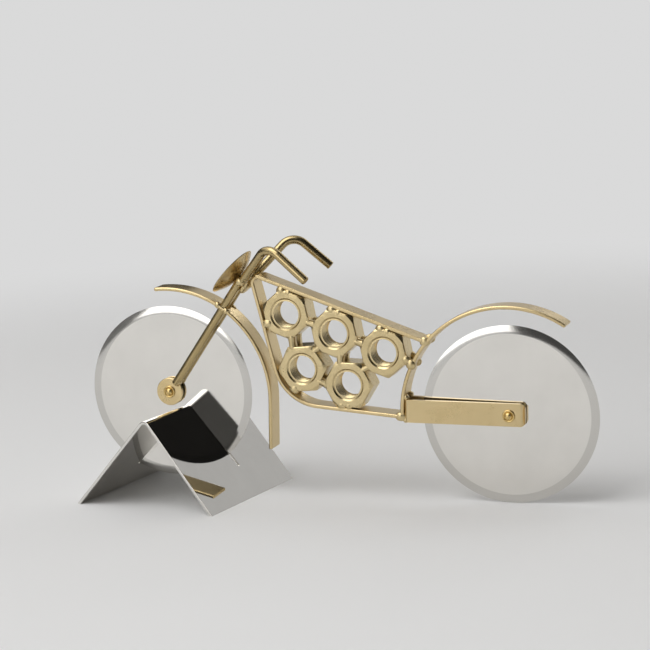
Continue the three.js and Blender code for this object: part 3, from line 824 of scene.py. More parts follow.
class CUTTER_OT_frame_loop(bpy.types.Operator):
    """Bends the frame's flat bar round the nuts"""

    bl_idname = "cutter.frame_loop"
    bl_label = "Frame loop"

    def execute(self, context):
        values = sizes()
        top, down, bottom = rails()
        half = values.strip_thickness / 2
        head = top.crossing(down, half)
        low = down.crossing(bottom, half)
        corners = [head + top.along * TOP_RAIL_STOCK, head, low, low + bottom.along * BOTTOM_RAIL_STOCK]
        radii = [values.head_bend - half, values.lower_bend - half]
        bar = bend_bar("frame_bar", values.strip_width, values.strip_thickness, corners, radii, 24)
        fender_space = add_piece(bpy.ops.mesh.primitive_cylinder_add, "fender_space", vertices=240,
                                 radius=fender_outer(), depth=4 * values.strip_width, rotation=ON_SIDE)
        cut_away(bar, fender_space)
        clean(bar)
        finish_bar(bar, "frame_loop")
        return {"FINISHED"}


REAR_FENDER_SPAN = (184.4, 59.0)  # degrees about the rear axle
REAR_FENDER_CLEARANCE = 9 * MM  # above the rear wheel
FRONT_FENDER_CLEARANCE = 10.1 * MM  # above the front wheel
FRONT_FENDER_TIP = 98.4  # degrees about the arc's centre
FRONT_FENDER_TAIL = 26 * MM  # straight stretch behind the wheel
FRONT_FENDER_OFFSET = Vector((1.4 * MM, -1 * MM))  # of the arc's centre from the front axle


def fender_outer():
    """Radius of the rear fender's outer face."""
    return WHEEL_RADIUS + REAR_FENDER_CLEARANCE + sizes().strip_thickness


def front_arc():
    """Centre and middle radius of the front fender's arc."""
    centre = Vector((-WHEELBASE, 0)) + FRONT_FENDER_OFFSET
    return centre, WHEEL_RADIUS + FRONT_FENDER_CLEARANCE + sizes().strip_thickness / 2


class CUTTER_OT_fenders(bpy.types.Operator):
    """Bends both fenders from flat bar"""

    bl_idname = "cutter.fenders"
    bl_label = "Fenders"

    def execute(self, context):
        values = sizes()
        bar = (values.strip_width, values.strip_thickness)
        rear_radius = fender_outer() - values.strip_thickness / 2
        rear = arc_bar("rear_fender_bar", *bar, Vector((0, 0)), rear_radius, *REAR_FENDER_SPAN, 96)
        front = arc_bar("front_fender_bar", *bar, *front_arc(), FRONT_FENDER_TIP, 0, 80, FRONT_FENDER_TAIL)
        finish_bar(rear, "rear_fender")
        finish_bar(front, "front_fender")
        return {"FINISHED"}


REAR_FORK_LIFT = 0.5 * MM  # of the arms' middle line above the axle
REAR_FORK_TILT = math.radians(1.4)
REAR_FORK_OVERHANG = 8.6 * MM  # behind the axle
REAR_FORK_BEND = 0.8 * MM  # inside of each bend
REAR_FORK_SET_IN = 0.6 * MM  # of its front into the fender, where they are welded
REAR_FORK_CORNER = 2.6 * MM  # rounding of the arms' ends


def fork_bend():
    """Place along the rear fork where its front bends end."""
    values = sizes()
    inner_face = fender_outer() - values.strip_thickness
    front = -math.sqrt(inner_face ** 2 - (values.strip_width / 2 + REAR_FORK_LIFT) ** 2) - REAR_FORK_SET_IN
    return front + values.strip_thickness + REAR_FORK_BEND


def fork_arm(place):
    """Depth of a rear fork arm's outer face at a place along it."""
    values = sizes()
    side, end = values.strip_width / 2, values.arms_end / 2
    return end + (side - end) * (REAR_FORK_OVERHANG - place) / (REAR_FORK_OVERHANG - fork_bend())


class CUTTER_OT_rear_fork(bpy.types.Operator):
    """Bends the U of flat bar that holds the rear wheel"""

    bl_idname = "cutter.rear_fork"
    bl_label = "Rear fork"

    def execute(self, context):
        values = sizes()
        width, thickness = values.strip_width, values.strip_thickness
        overhang = REAR_FORK_OVERHANG
        bend = fork_bend()
        arm = (values.arms_end - thickness) / 2
        lean = (width - values.arms_end) / 2
        cheek = (width - thickness) / 2 - (REAR_FORK_BEND + thickness / 2)
        fork = add_piece(bpy.ops.mesh.primitive_plane_add, "rear_fork_bar", (width, thickness, 1), size=1,
                         location=(overhang, -arm, 0), rotation=(0, -math.pi / 2, 0))
        edit_all(fork)
        run_end((bend - overhang, -lean, 0))
        turn_end((bend, -cheek, 0), (0, 0, 1), -math.pi / 2, 12)
        run_end((0, 2 * cheek, 0))
        turn_end((bend, cheek, 0), (0, 0, 1), -math.pi / 2, 12)
        run_end((overhang - bend, -lean, 0))
        close_edit()
        clean(fork)
        mesh = fork.data
        for polygon in mesh.polygons:
            polygon.select = False
        for vertex in mesh.vertices:
            vertex.select = False
        for edge in mesh.edges:
            ends = [mesh.vertices[index].co for index in edge.vertices]
            across = abs(ends[0].y - ends[1].y) > thickness * 0.9
            edge.select = across and min(end.x for end in ends) > overhang - MERGE_DISTANCE * 10
        bevel_selected(fork, REAR_FORK_CORNER, 8)
        tilted = Matrix.Rotation(-REAR_FORK_TILT, 4, "Y") @ Matrix.Translation((0, 0, REAR_FORK_LIFT))
        finish_bar(fork, "rear_fork", BIKE @ tilted)
        return {"FINISHED"}


ROD_IN_EYE = 2.4 * MM  # from a fork rod's lower end to its eye's rim
ROD_END_ROUND = 0.6 * MM
EYE_EASE = 0.45 * MM  # rounding of an eye's rim
EYE_EASE_MIDDLE = 0.3  # share of the rounding at its middle ring


class CUTTER_OT_front_fork(bpy.types.Operator):
    """Makes the front fork's rods and the round eyes that hold the axle"""

    bl_idname = "cutter.front_fork"
    bl_label = "Front fork"

    def execute(self, context):
        values = sizes()
        foot, rake, top = fork_line()
        lower = foot + heading(rake) * (values.eye_diameter / 2 - ROD_IN_EYE)
        half = values.eye_thickness / 2
        rim = values.eye_diameter / 2
        bore = values.rivet_diameter / 2 + RUNNING_GAP
        eased = rim - EYE_EASE
        cut = EYE_EASE * EYE_EASE_MIDDLE
        face = [(bore, -half), (eased, -half), (rim - cut, cut - half), (rim, EYE_EASE - half)]
        profile = face + mirrored(face) + face[:1]
        for side, sign in SIDES:
            depth = sign * values.fork_spread / 2
            ends = [deep(lower, depth), deep(top, depth)]
            rod = bend_rod(f"fork_rod_bar_{side}", values.rod_diameter, ends, [], ROD_END_ROUND)
            finish_rod(rod, f"fork_rod_{side}")
            eye = turned(f"fork_eye_disc_{side}", profile, 72)
            smooth(eye, 35)
            move_to(eye, Matrix.Translation(FRONT_AXLE + Vector((0, sign * values.eye_spread / 2, 0))))
            plate(eye, "bar_plating", f"fork_eye_{side}")
        return {"FINISHED"}


BAR_BASE = Vector((3.2, 7.6, 0.6)) * MM  # from a fork rod's end: rearward, outward from the middle, upward
BAR_BENDS = {
    "left": (Vector((21.5, 19, 21.8)) * MM, Vector((43.7, 22.2, 4.5)) * MM),
    "right": (Vector((21.5, 19, 22.8)) * MM, Vector((42, 22, 5.8)) * MM),
}
BAR_END_ROUND = 0.5 * MM


class CUTTER_OT_handlebars(bpy.types.Operator):
    """Bends both handlebars from round rod"""

    bl_idname = "cutter.handlebars"
    bl_label = "Handlebars"

    def execute(self, context):
        values = sizes()
        _, _, top = fork_line()
        for side, sign in SIDES:
            corners = [Vector((top.x + place.x, sign * place.y, top.y + place.z))
                       for place in (BAR_BASE, *BAR_BENDS[side])]
            rod = bend_rod(f"handlebar_rod_{side}", values.bar_diameter, corners, [values.bar_bend],
                           BAR_END_ROUND, 28)
            finish_rod(rod, f"handlebar_{side}")
        return {"FINISHED"}


DISH_TURN = 83  # degrees ahead of the fork rods
DISH_REACH = 7.1 * MM  # from the fork rods to the rim
DISH_DROP = 0.8 * MM  # below the rods' ends
DISH_WALL = 1 * MM
# Points of the dish's rolled lip, outward from its rim and forward, in millimetres
DISH_LIP = ((0.05, 0.25), (-0.35, 0.5), (-0.8, 0.35))
STEM_DIAMETER = 4.6 * MM
STEM_IN_DISH = 0.3 * MM
STEM_END_ROUND = 0.4 * MM


class CUTTER_OT_headlight(bpy.types.Operator):
    """Presses the headlight dish and puts it on its stem"""

    bl_idname = "cutter.headlight"
    bl_label = "Headlight"

    def execute(self, context):
        values = sizes()
        _, rake, top = fork_line()
        level = top - heading(rake) * DISH_DROP
        axis = heading(rake + DISH_TURN)
        rim = values.dish_diameter / 2

        def cap(radius, depth, steps=14):
            """Rings of a round cap, from its middle to its rim."""
            curve = (radius ** 2 + depth ** 2) / (2 * depth)
            reach = math.asin(radius / curve)
            angles = [reach * step / steps for step in range(steps + 1)]
            return [(curve * math.sin(angle), curve - depth - curve * math.cos(angle)) for angle in angles]

        back = cap(rim, values.dish_depth)
        inside = list(reversed(cap(rim - DISH_WALL, values.dish_depth - DISH_WALL)))
        lip = [(rim + outward * MM, forward * MM) for outward, forward in DISH_LIP]
        dish = turned("headlight_shell", back + lip + inside, 96)
        smooth(dish, 40)
        place = level + axis * DISH_REACH
        turned_to = deep(axis).to_track_quat("Y", "Z").to_matrix().to_4x4()
        move_to(dish, BIKE @ Matrix.Translation(deep(place)) @ turned_to)
        plate(dish, "bar_plating", "headlight_dish")
        front = place - axis * (values.dish_depth - STEM_IN_DISH)
        stem = bend_rod("headlight_rod", STEM_DIAMETER, [deep(front), deep(level)], [], STEM_END_ROUND)
        finish_rod(stem, "headlight_stem")
        return {"FINISHED"}


NUT_CORNER = 0.7 * MM  # rounding of all its edges, before the chamfer
NUT_CHAMFER = math.radians(30)
NUT_FACE = 0.985  # width of a nut's round face, as a share of its flats
NUT_EDGE = 0.5 * MM
NUT_EDGE_ANGLE = 22  # degrees, above which an edge is rounded
CUT_PAST = 1 * MM  # of a cutting shape past the nut
BORE_SINK = 1.65 * MM  # countersink of the bore
THREAD_START = 0.9 * MM  # below the nut's face
THREAD_DEPTH = 0.9 * MM
THREAD_ROOT, THREAD_FLANK, THREAD_CREST = 0.12, 0.42, 0.66  # where each ends, in shares of the pitch


class CUTTER_OT_nuts(bpy.types.Operator):
    """Makes one threaded nut and copies it to its places in the frame"""

    bl_idname = "cutter.nuts"
    bl_label = "Nuts"

    def execute(self, context):
        values = sizes()
        half = values.nut_thickness / 2
        radius = values.nut_flats / math.sqrt(3)
        nut = add_piece(bpy.ops.mesh.primitive_cylinder_add, "threaded_nut", vertices=6, radius=radius,
                        depth=values.nut_thickness, rotation=ON_SIDE)
        move_to(nut, Matrix.Rotation(math.radians(30), 4, "Y"))
        bevel_selected(nut, NUT_CORNER, 4)
        face = values.nut_flats / 2 * NUT_FACE
        outside = radius + CUT_PAST
        side = [(0, half), (face, half), (outside, half - (outside - face) * math.tan(NUT_CHAMFER))]
        cut_away(nut, turned("nut_chamfer", side + mirrored(side), 96), "INTERSECT")
        clean(nut)
        round_edges(nut, NUT_EDGE, 3, NUT_EDGE_ANGLE)
        crest = values.nut_bore / 2
        root = crest + THREAD_DEPTH
        pitch = values.thread_pitch
        past = half + CUT_PAST
        mouth = [(crest + BORE_SINK + CUT_PAST, past), (crest + BORE_SINK / 2, half - BORE_SINK / 2)]
        thread = []
        for turn in range(int(values.nut_thickness / pitch)):
            y = half - THREAD_START - turn * pitch
            thread += [(root, y), (root, y - pitch * THREAD_ROOT)]
            thread += [(crest, y - pitch * THREAD_FLANK), (crest, y - pitch * THREAD_CREST)]
        profile = [(0, past)] + mouth + thread + mirrored(mouth) + [(0, -past)]
        cut_away(nut, turned("nut_thread", profile, 72))
        clean(nut)
        smooth(nut, 28)
        for index, node in enumerate(NUTS):
            piece = copy_piece(nut, f"threaded_{node}")
            turn = Matrix.Rotation(-math.radians(nut_turns()[index]), 4, "Y")
            move_to(piece, BIKE @ Matrix.Translation(deep(NUT_CENTRES[index])) @ turn)
            plate(piece, "nut_plating", node)
        bpy.data.objects.remove(nut)
        return {"FINISHED"}


# Scale, shift by a bead's seed and height of the waves in its skin
BEAD_WAVES = ((1.3, Vector((7.3, 3.1, 1)), 0.12), (3.1, Vector((1, 5.7, 0)), 0.04))
BEAD_FLATNESS = 0.6  # power that flattens a bead's outer side
NECK_RISE = 1.6  # of a neck's ends, for each share of its flare
NECK_FULLNESS = 8  # power that keeps a neck full up to its ends
GIRTH_FLOOR = 1e-9  # least square of a girth, at a bead's two ends


def bead(name, place, radii, turn, seed, flare=0.0):
    """A lump of weld metal, as wide, deep and high as its radii, with an uneven skin.

    A flare makes it a neck, thicker at both ends of its width."""
    piece = add_piece(bpy.ops.mesh.primitive_ico_sphere_add, name, subdivisions=3, radius=1)
    for vertex in piece.data.vertices:
        point = vertex.co.copy()
        wave = sum(noise.noise(point * scale + shift * seed) * rise for scale, shift, rise in BEAD_WAVES)
        girth = math.sqrt(max(1 - point.x ** 2, GIRTH_FLOOR))
        neck = (1 - flare) + flare * point.x ** 2 * NECK_RISE
        fuller = 1 if flare == 0 else (1 - point.x ** NECK_FULLNESS) ** 0.5 / girth
        depth = math.copysign(abs(point.y / girth) ** BEAD_FLATNESS * girth, point.y) * fuller
        height = point.z * fuller * neck * (1 + wave)
        vertex.co = Vector((point.x * radii[0] * (1 + wave), depth * radii[1], height * radii[2]))
    move_to(piece, Matrix.Translation(deep(place)) @ Matrix.Rotation(-math.radians(turn), 4, "Y"))
    return piece


def nearest(first, second):
    """Middle between the closest points of two outlines, their distance and the heading across the gap."""
    best = None
    for outline, other in ((first, second), (second, first)):
        for corner in outline:
            for start, end in zip(other, other[1:] + other[:1]):
                span = end - start
                share = min(max((corner - start).dot(span) / span.length_squared, 0), 1)
                foot = start + span * share
                gap = (corner - foot).length
                if best is None or gap < best[0]:
                    best = (gap, (corner + foot) / 2, corner - foot)
    gap, place, across = best
    return place, gap, math.degrees(math.atan2(across.y, across.x))


def meet_circle(start, along, radius, side):
    """Where a line meets a circle about the origin, on its near side (-1) or its far side (1)."""
    lean = start.dot(along)
    return start + along * (side * math.sqrt(lean ** 2 - start.length_squared + radius ** 2) - lean)


TOUCHING_NUTS = ((0, 1), (1, 2), (3, 4), (1, 3), (1, 4), (2, 4), (0, 3))
# Necks between nuts: half length, half height, flare, half depth and how proud they are
NECK_LENGTH, NECK_HEIGHT = 3.6 * MM, 2.6 * MM
NECK_FLARE, NECK_DEPTH, NECK_PROUD = 0.3, 2.6 * MM, 0.06 * MM
# Beads along a rail: place, half length, half height and how proud they are, in millimetres
PAIR = ((-1.8, 2.9, 2.3, 0.14), (2.2, 2.5, 2.1, 0.14))
SINGLE = ((0.4, 2.7, 2.7, 0.6),)
RAIL_TOUCH = 1.5 * MM  # within which a nut's corner counts as touching a rail
RAIL_INSET = 1.1 * MM  # of these beads from the rail, towards the nut
BEAD_DEPTH, BEAD_PROUD = 1.7 * MM, 0.3 * MM  # half depth of any other bead, and how proud it is
# Other beads: half length and half height, and how far they are shifted, set in or sunk
RAIL_END_BEAD = (2.9 * MM, 2.5 * MM)
REAR_NUT_BEAD = (2.9 * MM, 2.6 * MM)
REAR_NUT_SHIFTS = (-1.6 * MM, 2.0 * MM)
LOWER_NUT_BEAD = (3.0 * MM, 2.6 * MM)
LOWER_NUT_SHIFT = 1.8 * MM
LOWER_NUT_HEADING = 60  # degrees
NUT_BEAD_TURN = -40  # degrees
REAR_FORK_BEAD = (1.6 * MM, 1.5 * MM)
REAR_FORK_BEAD_ANGLES = (173.6, 186.2)  # degrees about the rear axle
REAR_FORK_BEAD_IN, REAR_FORK_BEAD_SINK = 0.5 * MM, 0.6 * MM
FENDER_BEAD = (2.2 * MM, 1.7 * MM)
FENDER_BEAD_SHIFTS = (-2.8 * MM, 2.8 * MM)
EYE_BEAD = (2.6 * MM, 2.4 * MM)
EYE_BEAD_IN, EYE_BEAD_SINK, EYE_BEAD_DEPTH = 0.4 * MM, 0.5 * MM, 2.2 * MM
# Lumps at the head: half sizes, and places behind the rods' ends, along the rods and to the sides
HEAD_LUMPS = ((2.6 * MM, 5.4 * MM, 3.6 * MM), (1.9 * MM, 5.2 * MM, 3.2 * MM))
HEAD_BACK, HEAD_STEP = 3.6 * MM, 3 * MM
BAR_LUMP = (2.7 * MM, 2.3 * MM, 2.6 * MM)
BAR_LUMP_BACK, BAR_LUMP_UP, BAR_LUMP_OUT = 1.2 * MM, 0.5 * MM, 6.1 * MM
HEAD_SEED = 31


class CUTTER_OT_welds(bpy.types.Operator):
    """Lays the weld beads between the nuts, the rails, the fenders and the head"""

    bl_idname = "cutter.welds"
    bl_label = "Welds"

    def execute(self, context):
        values = sizes()
        top, down, bottom = rails()
        nut_face = values.nut_thickness / 2
        bar_edge = values.strip_width / 2
        outlines = [nut_outline(index) for index in range(len(NUTS))]
        beads = []

        def lay(place, along, across, turn, surface, flare=0.0, deep_by=BEAD_DEPTH, proud=BEAD_PROUD):
            """A bead on both sides of the bike, standing a little proud of a surface."""
            for _, sign in SIDES:
                seed = len(beads) + 1
                piece = bead(f"bead_{seed}", place, (along, deep_by, across), turn, seed, flare)
                move_to(piece, Matrix.Translation((0, sign * (surface + proud - deep_by), 0)))
                beads.append(piece)

        for first, second in TOUCHING_NUTS:
            place, gap, turn = nearest(outlines[first], outlines[second])
            lay(place, NECK_LENGTH + gap / 2, NECK_HEIGHT, turn, nut_face, NECK_FLARE, NECK_DEPTH, NECK_PROUD)
        # Nut, rail, start along it in millimetres, and beads
        runs = ((0, top, -4.5, PAIR), (1, top, -3.5, PAIR), (2, top, -3.5, PAIR), (0, down, 3.0, SINGLE),
                (4, bottom, -2.0, PAIR))
        for index, rail, start, lumps in runs:
            reach = max(corner.dot(rail.normal) for corner in outlines[index])
            touching = [corner for corner in outlines[index] if corner.dot(rail.normal) > reach - RAIL_TOUCH]
            place = sum(touching, Vector((0, 0))) / len(touching)
            place = place + rail.normal * (reach - RAIL_INSET - place.dot(rail.normal))
            slope = math.degrees(math.atan2(rail.along.y, rail.along.x))
            for shift, long, high, proud in lumps:
                lay(place + rail.along * (start + shift) * MM, long * MM, high * MM, slope, nut_face,
                    proud=proud * MM)
        half = values.strip_thickness / 2
        rail_ends = ((top.crossing(down, half), top.along), (down.crossing(bottom, half), bottom.along))
        for corner, along in rail_ends:
            lay(meet_circle(corner, along, fender_outer(), -1), *RAIL_END_BEAD, 0, bar_edge)
        rear_corner = outlines[2][0]
        lower_corner = outlines[3][4]
        for shift in REAR_NUT_SHIFTS:
            place = rear_corner + heading(NUT_BEAD_TURN) * shift
            lay(place, *REAR_NUT_BEAD, NUT_BEAD_TURN, nut_face)
        place = lower_corner + heading(LOWER_NUT_HEADING) * LOWER_NUT_SHIFT
        lay(place, *LOWER_NUT_BEAD, NUT_BEAD_TURN, nut_face)
        inner = fender_outer() - values.strip_thickness
        for angle in REAR_FORK_BEAD_ANGLES:
            place = heading(angle) * (inner - REAR_FORK_BEAD_IN)
            lay(place, *REAR_FORK_BEAD, 0, bar_edge - REAR_FORK_BEAD_SINK)
        foot, rake, _ = fork_line()
        along = heading(rake)
        centre, radius = front_arc()
        outward = meet_circle(foot - centre, along, radius, 1)
        level = math.degrees(math.atan2(outward.y, outward.x)) - 90
        for shift in FENDER_BEAD_SHIFTS:
            lay(centre + outward + heading(level) * shift, *FENDER_BEAD, level, bar_edge)
        rods_side = (values.fork_spread + values.rod_diameter) / 2
        place = foot + along * (values.eye_diameter / 2 - EYE_BEAD_IN)
        lay(place, *EYE_BEAD, rake, rods_side - EYE_BEAD_SINK, deep_by=EYE_BEAD_DEPTH)
        welds = join_pieces(beads, "frame_weld_beads")
        smooth(welds, 60)
        move_to(welds, BIKE)
        plate(welds, "weld_plating")
        self.head()
        return {"FINISHED"}

    def head(self):
        """Weld metal at the frame's head, where the fork, the bars and the stem meet."""
        _, rake, top = fork_line()
        behind = heading(rake - 90)
        along = heading(rake)
        lumps = []
        for index, radii in enumerate(HEAD_LUMPS):
            place = top + behind * HEAD_BACK - along * HEAD_STEP * index
            lumps.append(bead(f"head_{index + 1}", place, radii, rake - 90, HEAD_SEED + index))
        place = top + behind * BAR_LUMP_BACK + along * BAR_LUMP_UP
        for side, sign in SIDES:
            lump = bead(f"head_{side}", place, BAR_LUMP, rake, HEAD_SEED + len(HEAD_LUMPS) + sign)
            move_to(lump, Matrix.Translation((0, sign * BAR_LUMP_OUT, 0)))
            lumps.append(lump)
        head = join_pieces(lumps, "head_weld_metal")
        apply_modifier(head, "REMESH", mode="VOXEL", voxel_size=0.3 * MM)
        apply_modifier(head, "SMOOTH", factor=0.5, iterations=6)
        clean(head)
        smooth(head, 80)
        move_to(head, BIKE)
        plate(head, "weld_plating", "head_weld")


STAND_FOLD = 3.6 * MM  # outer radius of the stand's fold
SLOT_END = 15 * MM  # height of the slot's lower end
SLOT_SPARE = 0.4 * MM  # on each side of the wheel
STAND_SET_BACK = 8.8 * MM  # of the ridge behind the front axle
STAND_STOCK = 4 * MM  # of each leg below the floor, before it is cut level
STAND_EDGE = 0.18 * MM
STAND_EDGE_ANGLE = 40  # degrees, above which an edge is rounded


class CUTTER_OT_stand(bpy.types.Operator):
    """Folds the stand's sheet and cuts its slot for the front wheel"""

    bl_idname = "cutter.stand"
    bl_label = "Stand"

    def execute(self, context):
        values = sizes()
        half = values.stand_sheet / 2
        front = math.atan2(values.stand_height, values.stand_front)
        rear = math.atan2(values.stand_height, values.stand_rear)
        front_in = half / math.sin(front)
        rear_in = half / math.sin(rear)
        base = values.stand_front + values.stand_rear
        share = (base - front_in - rear_in) / base
        ridge = Vector((front_in - values.stand_front * (1 - share), values.stand_height * share))
        left = Vector((front_in - values.stand_front, 0)) - heading(math.degrees(front)) * STAND_STOCK
        right = Vector((values.stand_rear - rear_in, 0)) + heading(-math.degrees(rear)) * STAND_STOCK
        sheet = bend_bar("stand_folded_sheet", values.stand_length, values.stand_sheet, [left, ridge, right],
                         [STAND_FOLD - half], 16)
        slice_off(sheet, Vector((0, 0)), Vector((0, -1)))
        clean(sheet)
        step = (values.stand_front - values.stand_rear) * math.sin(values.stand_turn) / 2
        place = Vector((FRONT_AXLE.x + STAND_SET_BACK - step * math.tan(values.stand_turn), -step, 0))
        move_to(sheet, Matrix.Translation(place) @ Matrix.Rotation(-values.stand_turn, 4, "Z"))
        width = values.wheel_thickness + 2 * SLOT_SPARE
        tall = values.stand_height
        slot_size = (3 * values.stand_length, width, tall)
        slot = add_piece(bpy.ops.mesh.primitive_cube_add, "stand_slot", slot_size, size=1,
                         location=(place.x, 0, SLOT_END + tall / 2))
        cut_away(sheet, slot)
        clean(sheet)
        round_edges(sheet, STAND_EDGE, 2, STAND_EDGE_ANGLE)
        smooth(sheet, 25)
        finish_piece(sheet, material("mirror_sheet"), "stand", "stand_sheet", "stand")
        return {"FINISHED"}


# Stage

CAMERA_TURN = math.radians(20.047)
CAMERA_RISE = math.radians(9.6435)
CAMERA_ROLL = math.radians(-3.1497)
CAMERA_DISTANCE = 1.0834
CAMERA_TARGET = Vector((-0.00412, 0, 0.0925))
CAMERA_LENS = 114.35
CAMERA_SENSOR = 36
FLOOR_CENTRE = (0, -1.5, 0)
FLOOR_SIZE = (8, 5, 1)
FLOOR_BACK = 1.0  # where its back edge curves up into the backdrop
BACKDROP_CURVE = 1.2  # radius of the curve
BACKDROP_RISE = 2  # height of the straight stretch above it
BACKDROP_FADE = (0.42, 1.0)  # distances from the middle between which the floor turns into the backdrop
BACKDROP_DARKENING = (0.27, 0.6)  # heights between which the backdrop takes its darker tone
BACKDROP_TONE = (0.70, 0.70, 0.70)
BACKDROP_HIGH_TONE = (0.48, 0.48, 0.48)
FLOOR_SHADE = 0.98  # darkest tone of the floor's paint
# Place, width and height, and power of each lamp
LAMPS = {
    "key_lamp": ((-0.5, -0.8, 1.75), (1.5, 1.5), 17.5),
    "front_lamp": ((-1.03, -2.5, 0.8), (1.1, 1.6), 7),
    "back_lamp": ((0.28, 1.5, 0.97), (0.45, 0.14), 0.9),
}
# First and last angle from square on, height and tone of each dark card
CARDS = {
    "side_card": (-160, -64, 0.8, 0.10),
    "left_card": (-64, -33.6, 0.3, 0.28),
    "right_card": (-9.6, 80, 0.4, 0.08),
}
CARD_REACH = 1.25  # distance of the cards from the middle
SKY_COLOUR = (1, 0.99, 0.97, 1)
SKY_STRENGTH = (1.0, 0.012)  # of its pale and of its dark side
DARK_SIDE = Vector((0.62, -0.45, 0.64)).normalized()
DARK_SIDE_EDGE = (0.50, 0.64)  # cosines of the angle from its middle, between which it fades in


class CUTTER_OT_stage(bpy.types.Operator):
    """Sets the floor and backdrop, the lamps, the sky and the camera"""

    bl_idname = "cutter.stage"
    bl_label = "Stage"

    def execute(self, context):
        self.floor()
        self.sky()
        for name, settings in LAMPS.items():
            self.lamp(name, *settings)
        for name, settings in CARDS.items():
            self.card(name, *settings)
        self.camera()
        context.scene.view_settings.view_transform = "Standard"
        return {"FINISHED"}

    def floor(self):
        """A pale floor that curves up into a backdrop."""
        floor = add_piece(bpy.ops.mesh.primitive_plane_add, "floor", FLOOR_SIZE, size=1,
                          location=FLOOR_CENTRE)
        mesh = floor.data
        for edge in mesh.edges:
            edge.select = all(mesh.vertices[index].co.y > 0 for index in edge.vertices)
        for vertex in mesh.vertices:
            vertex.select = vertex.co.y > 0
        for polygon in mesh.polygons:
            polygon.select = False
        make_active(floor)
        bpy.ops.object.mode_set(mode="EDIT")
        turn_end((0, FLOOR_BACK, BACKDROP_CURVE), (1, 0, 0), math.radians(90), 24)
        bpy.ops.mesh.extrude_edges_move(TRANSFORM_OT_translate={"value": (0, 0, BACKDROP_RISE)})
        close_edit()
        bpy.ops.object.shade_smooth()
        floor.data.materials.append(self.floor_paint())

    def floor_paint(self):
        """Matt paint that takes the shadow; far from the object, an even backdrop that is darker high up."""
        paint, tree, shader = new_material("floor_paint")
        base = finish_colours().floor
        vector = surface_coordinates(tree)
        clouds = add_noise(tree, vector, scale=1.5, detail=2)
        colours = tone_mix(tree, clouds, shaded(base, FLOOR_SHADE), base)
        matt = {"Metallic": 0, "Roughness": 0.9, "Specular IOR Level": 0.1}
        feed(tree, shader, {"Base Color": colours, **matt})
        parts = split(tree, vector)
        far = map_range(tree, distance_by(tree, parts, "X", "Y"), BACKDROP_FADE)
        high = map_range(tree, parts["Z"], BACKDROP_DARKENING)
        rays = tree.nodes.new("ShaderNodeLightPath").outputs
        seen = add_math(tree, "MAXIMUM", rays["Is Camera Ray"], rays["Is Glossy Ray"])
        seen = add_math(tree, "MAXIMUM", seen, rays["Is Transmission Ray"])
        share = add_math(tree, "MULTIPLY", far, seen)
        tone = tone_mix(tree, high, BACKDROP_TONE, BACKDROP_HIGH_TONE, 0, 1)
        even = add_node(tree, "ShaderNodeEmission", {"Color": tone}).outputs["Emission"]
        mix = add_node(tree, "ShaderNodeMixShader", {"Fac": share, 1: shader.outputs["BSDF"], 2: even})
        tree.links.new(mix.outputs["Shader"], tree.nodes["Material Output"].inputs["Surface"])
        return paint

    def card(self, name, start, end, top, tone):
        """A dark card round part of the object, between two angles, that shows only in reflections."""
        first = heading(start - 90) * CARD_REACH
        card = add_piece(bpy.ops.mesh.primitive_plane_add, name, size=1, location=(first.x, first.y, 0))
        edit_all(card)
        bpy.ops.mesh.merge(type="CENTER")
        bpy.ops.mesh.select_mode(type="VERT")
        bpy.ops.mesh.extrude_vertices_move(TRANSFORM_OT_translate={"value": (0, 0, top)})
        bpy.ops.mesh.select_all(action="SELECT")
        turn_end((0, 0, 0), (0, 0, 1), math.radians(end - start), 24)
        close_edit()
        felt, tree, shader = new_material(f"{name}_felt")
        feed(tree, shader, {"Base Color": (tone, tone, tone, 1), "Metallic": 0, "Roughness": 1})
        card.data.materials.append(felt)
        card.visible_camera = False
        card.visible_diffuse = False
        card.visible_shadow = False

    def sky(self):
        """A pale studio with a dark side, high on the camera's right.

        Past the floor's edge the camera, and only the camera, sees the backdrop's tone."""
        world = bpy.data.worlds.new("studio")
        bpy.context.scene.world = world
        world.use_nodes = True
        tree = world.node_tree
        direction = tree.nodes.new("ShaderNodeTexCoord").outputs["Generated"]
        facing = add_node(tree, "ShaderNodeVectorMath", {0: direction, 1: DARK_SIDE}, operation="DOT_PRODUCT")
        shade = map_range(tree, facing.outputs["Value"], DARK_SIDE_EDGE, SKY_STRENGTH)
        camera = tree.nodes.new("ShaderNodeLightPath").outputs["Is Camera Ray"]
        inputs = dict(zip(FLOAT_MIX, (camera, shade, BACKDROP_TONE[0])))
        strength = add_node(tree, "ShaderNodeMix", inputs).outputs[0]
        feed(tree, tree.nodes["Background"], {"Color": SKY_COLOUR, "Strength": strength})

    def lamp(self, name, place, size, power):
        """A soft lamp, as wide and tall as its size, that faces the object."""
        turn = (-Vector(place)).to_track_quat("-Z", "Y").to_euler()
        bpy.ops.object.light_add(type="AREA", location=place, rotation=turn)
        lamp = bpy.context.object
        lamp.name = name
        lamp.data.name = name
        lamp.data.shape = "RECTANGLE"
        lamp.data.size, lamp.data.size_y = size
        lamp.data.energy = power

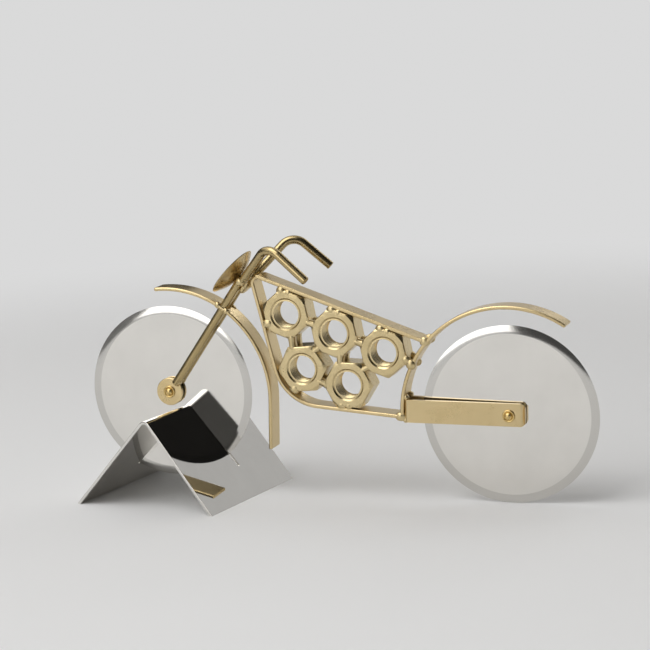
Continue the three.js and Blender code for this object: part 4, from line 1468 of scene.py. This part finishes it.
    def camera(self):
        """The photograph's viewing angle."""
        turn, rise, roll = CAMERA_TURN, CAMERA_RISE, CAMERA_ROLL
        back = Vector((math.sin(turn) * math.cos(rise), -math.cos(turn) * math.cos(rise), math.sin(rise)))
        right = Vector((math.cos(turn), math.sin(turn), 0))
        up = back.cross(right)
        rolled_right = right * math.cos(roll) + up * math.sin(roll)
        rolled_up = up * math.cos(roll) - right * math.sin(roll)
        axes = Matrix((rolled_right, rolled_up, back)).transposed()
        bpy.ops.object.camera_add(location=CAMERA_TARGET + back * CAMERA_DISTANCE, rotation=axes.to_euler())
        camera = bpy.context.object
        camera.name = "camera"
        camera.data.lens = CAMERA_LENS
        camera.data.sensor_width = CAMERA_SENSOR
        bpy.context.scene.camera = camera


class CUTTER_PT_panel(bpy.types.Panel):
    """Lists the cutter's pieces and sizes"""

    bl_idname = "CUTTER_PT_panel"
    bl_label = "Pizza cutter"
    bl_space_type = "VIEW_3D"
    bl_region_type = "UI"
    bl_category = "Cutter"

    def draw(self, context):
        for operator in PIECES:
            self.layout.operator(operator.bl_idname)
        for group in (context.scene.cutter_sizes, context.scene.cutter_finish):
            column = self.layout.column()
            for name in group.bl_rna.properties.keys():
                if name not in ("rna_type", "name"):
                    column.prop(group, name)


PIECES = (CUTTER_OT_wheels, CUTTER_OT_axles, CUTTER_OT_frame_loop, CUTTER_OT_fenders, CUTTER_OT_rear_fork,
          CUTTER_OT_front_fork, CUTTER_OT_handlebars, CUTTER_OT_headlight, CUTTER_OT_nuts, CUTTER_OT_welds,
          CUTTER_OT_stand, CUTTER_OT_stage)
CLASSES = (CutterSizes, CutterFinish, *PIECES, CUTTER_PT_panel)


def register():
    """Adds the classes and their settings."""
    for item in CLASSES:
        bpy.utils.register_class(item)
    bpy.types.Scene.cutter_sizes = bpy.props.PointerProperty(type=CutterSizes)
    bpy.types.Scene.cutter_finish = bpy.props.PointerProperty(type=CutterFinish)


def unregister():
    """Takes the settings and the classes away."""
    del bpy.types.Scene.cutter_finish
    del bpy.types.Scene.cutter_sizes
    for item in reversed(CLASSES):
        bpy.utils.unregister_class(item)


def main():
    """Builds every piece in order."""
    register()
    bpy.ops.cutter.wheels()
    bpy.ops.cutter.axles()
    bpy.ops.cutter.frame_loop()
    bpy.ops.cutter.fenders()
    bpy.ops.cutter.rear_fork()
    bpy.ops.cutter.front_fork()
    bpy.ops.cutter.handlebars()
    bpy.ops.cutter.headlight()
    bpy.ops.cutter.nuts()
    bpy.ops.cutter.welds()
    bpy.ops.cutter.stand()
    bpy.ops.cutter.stage()


if __name__ == "__main__":
    main()
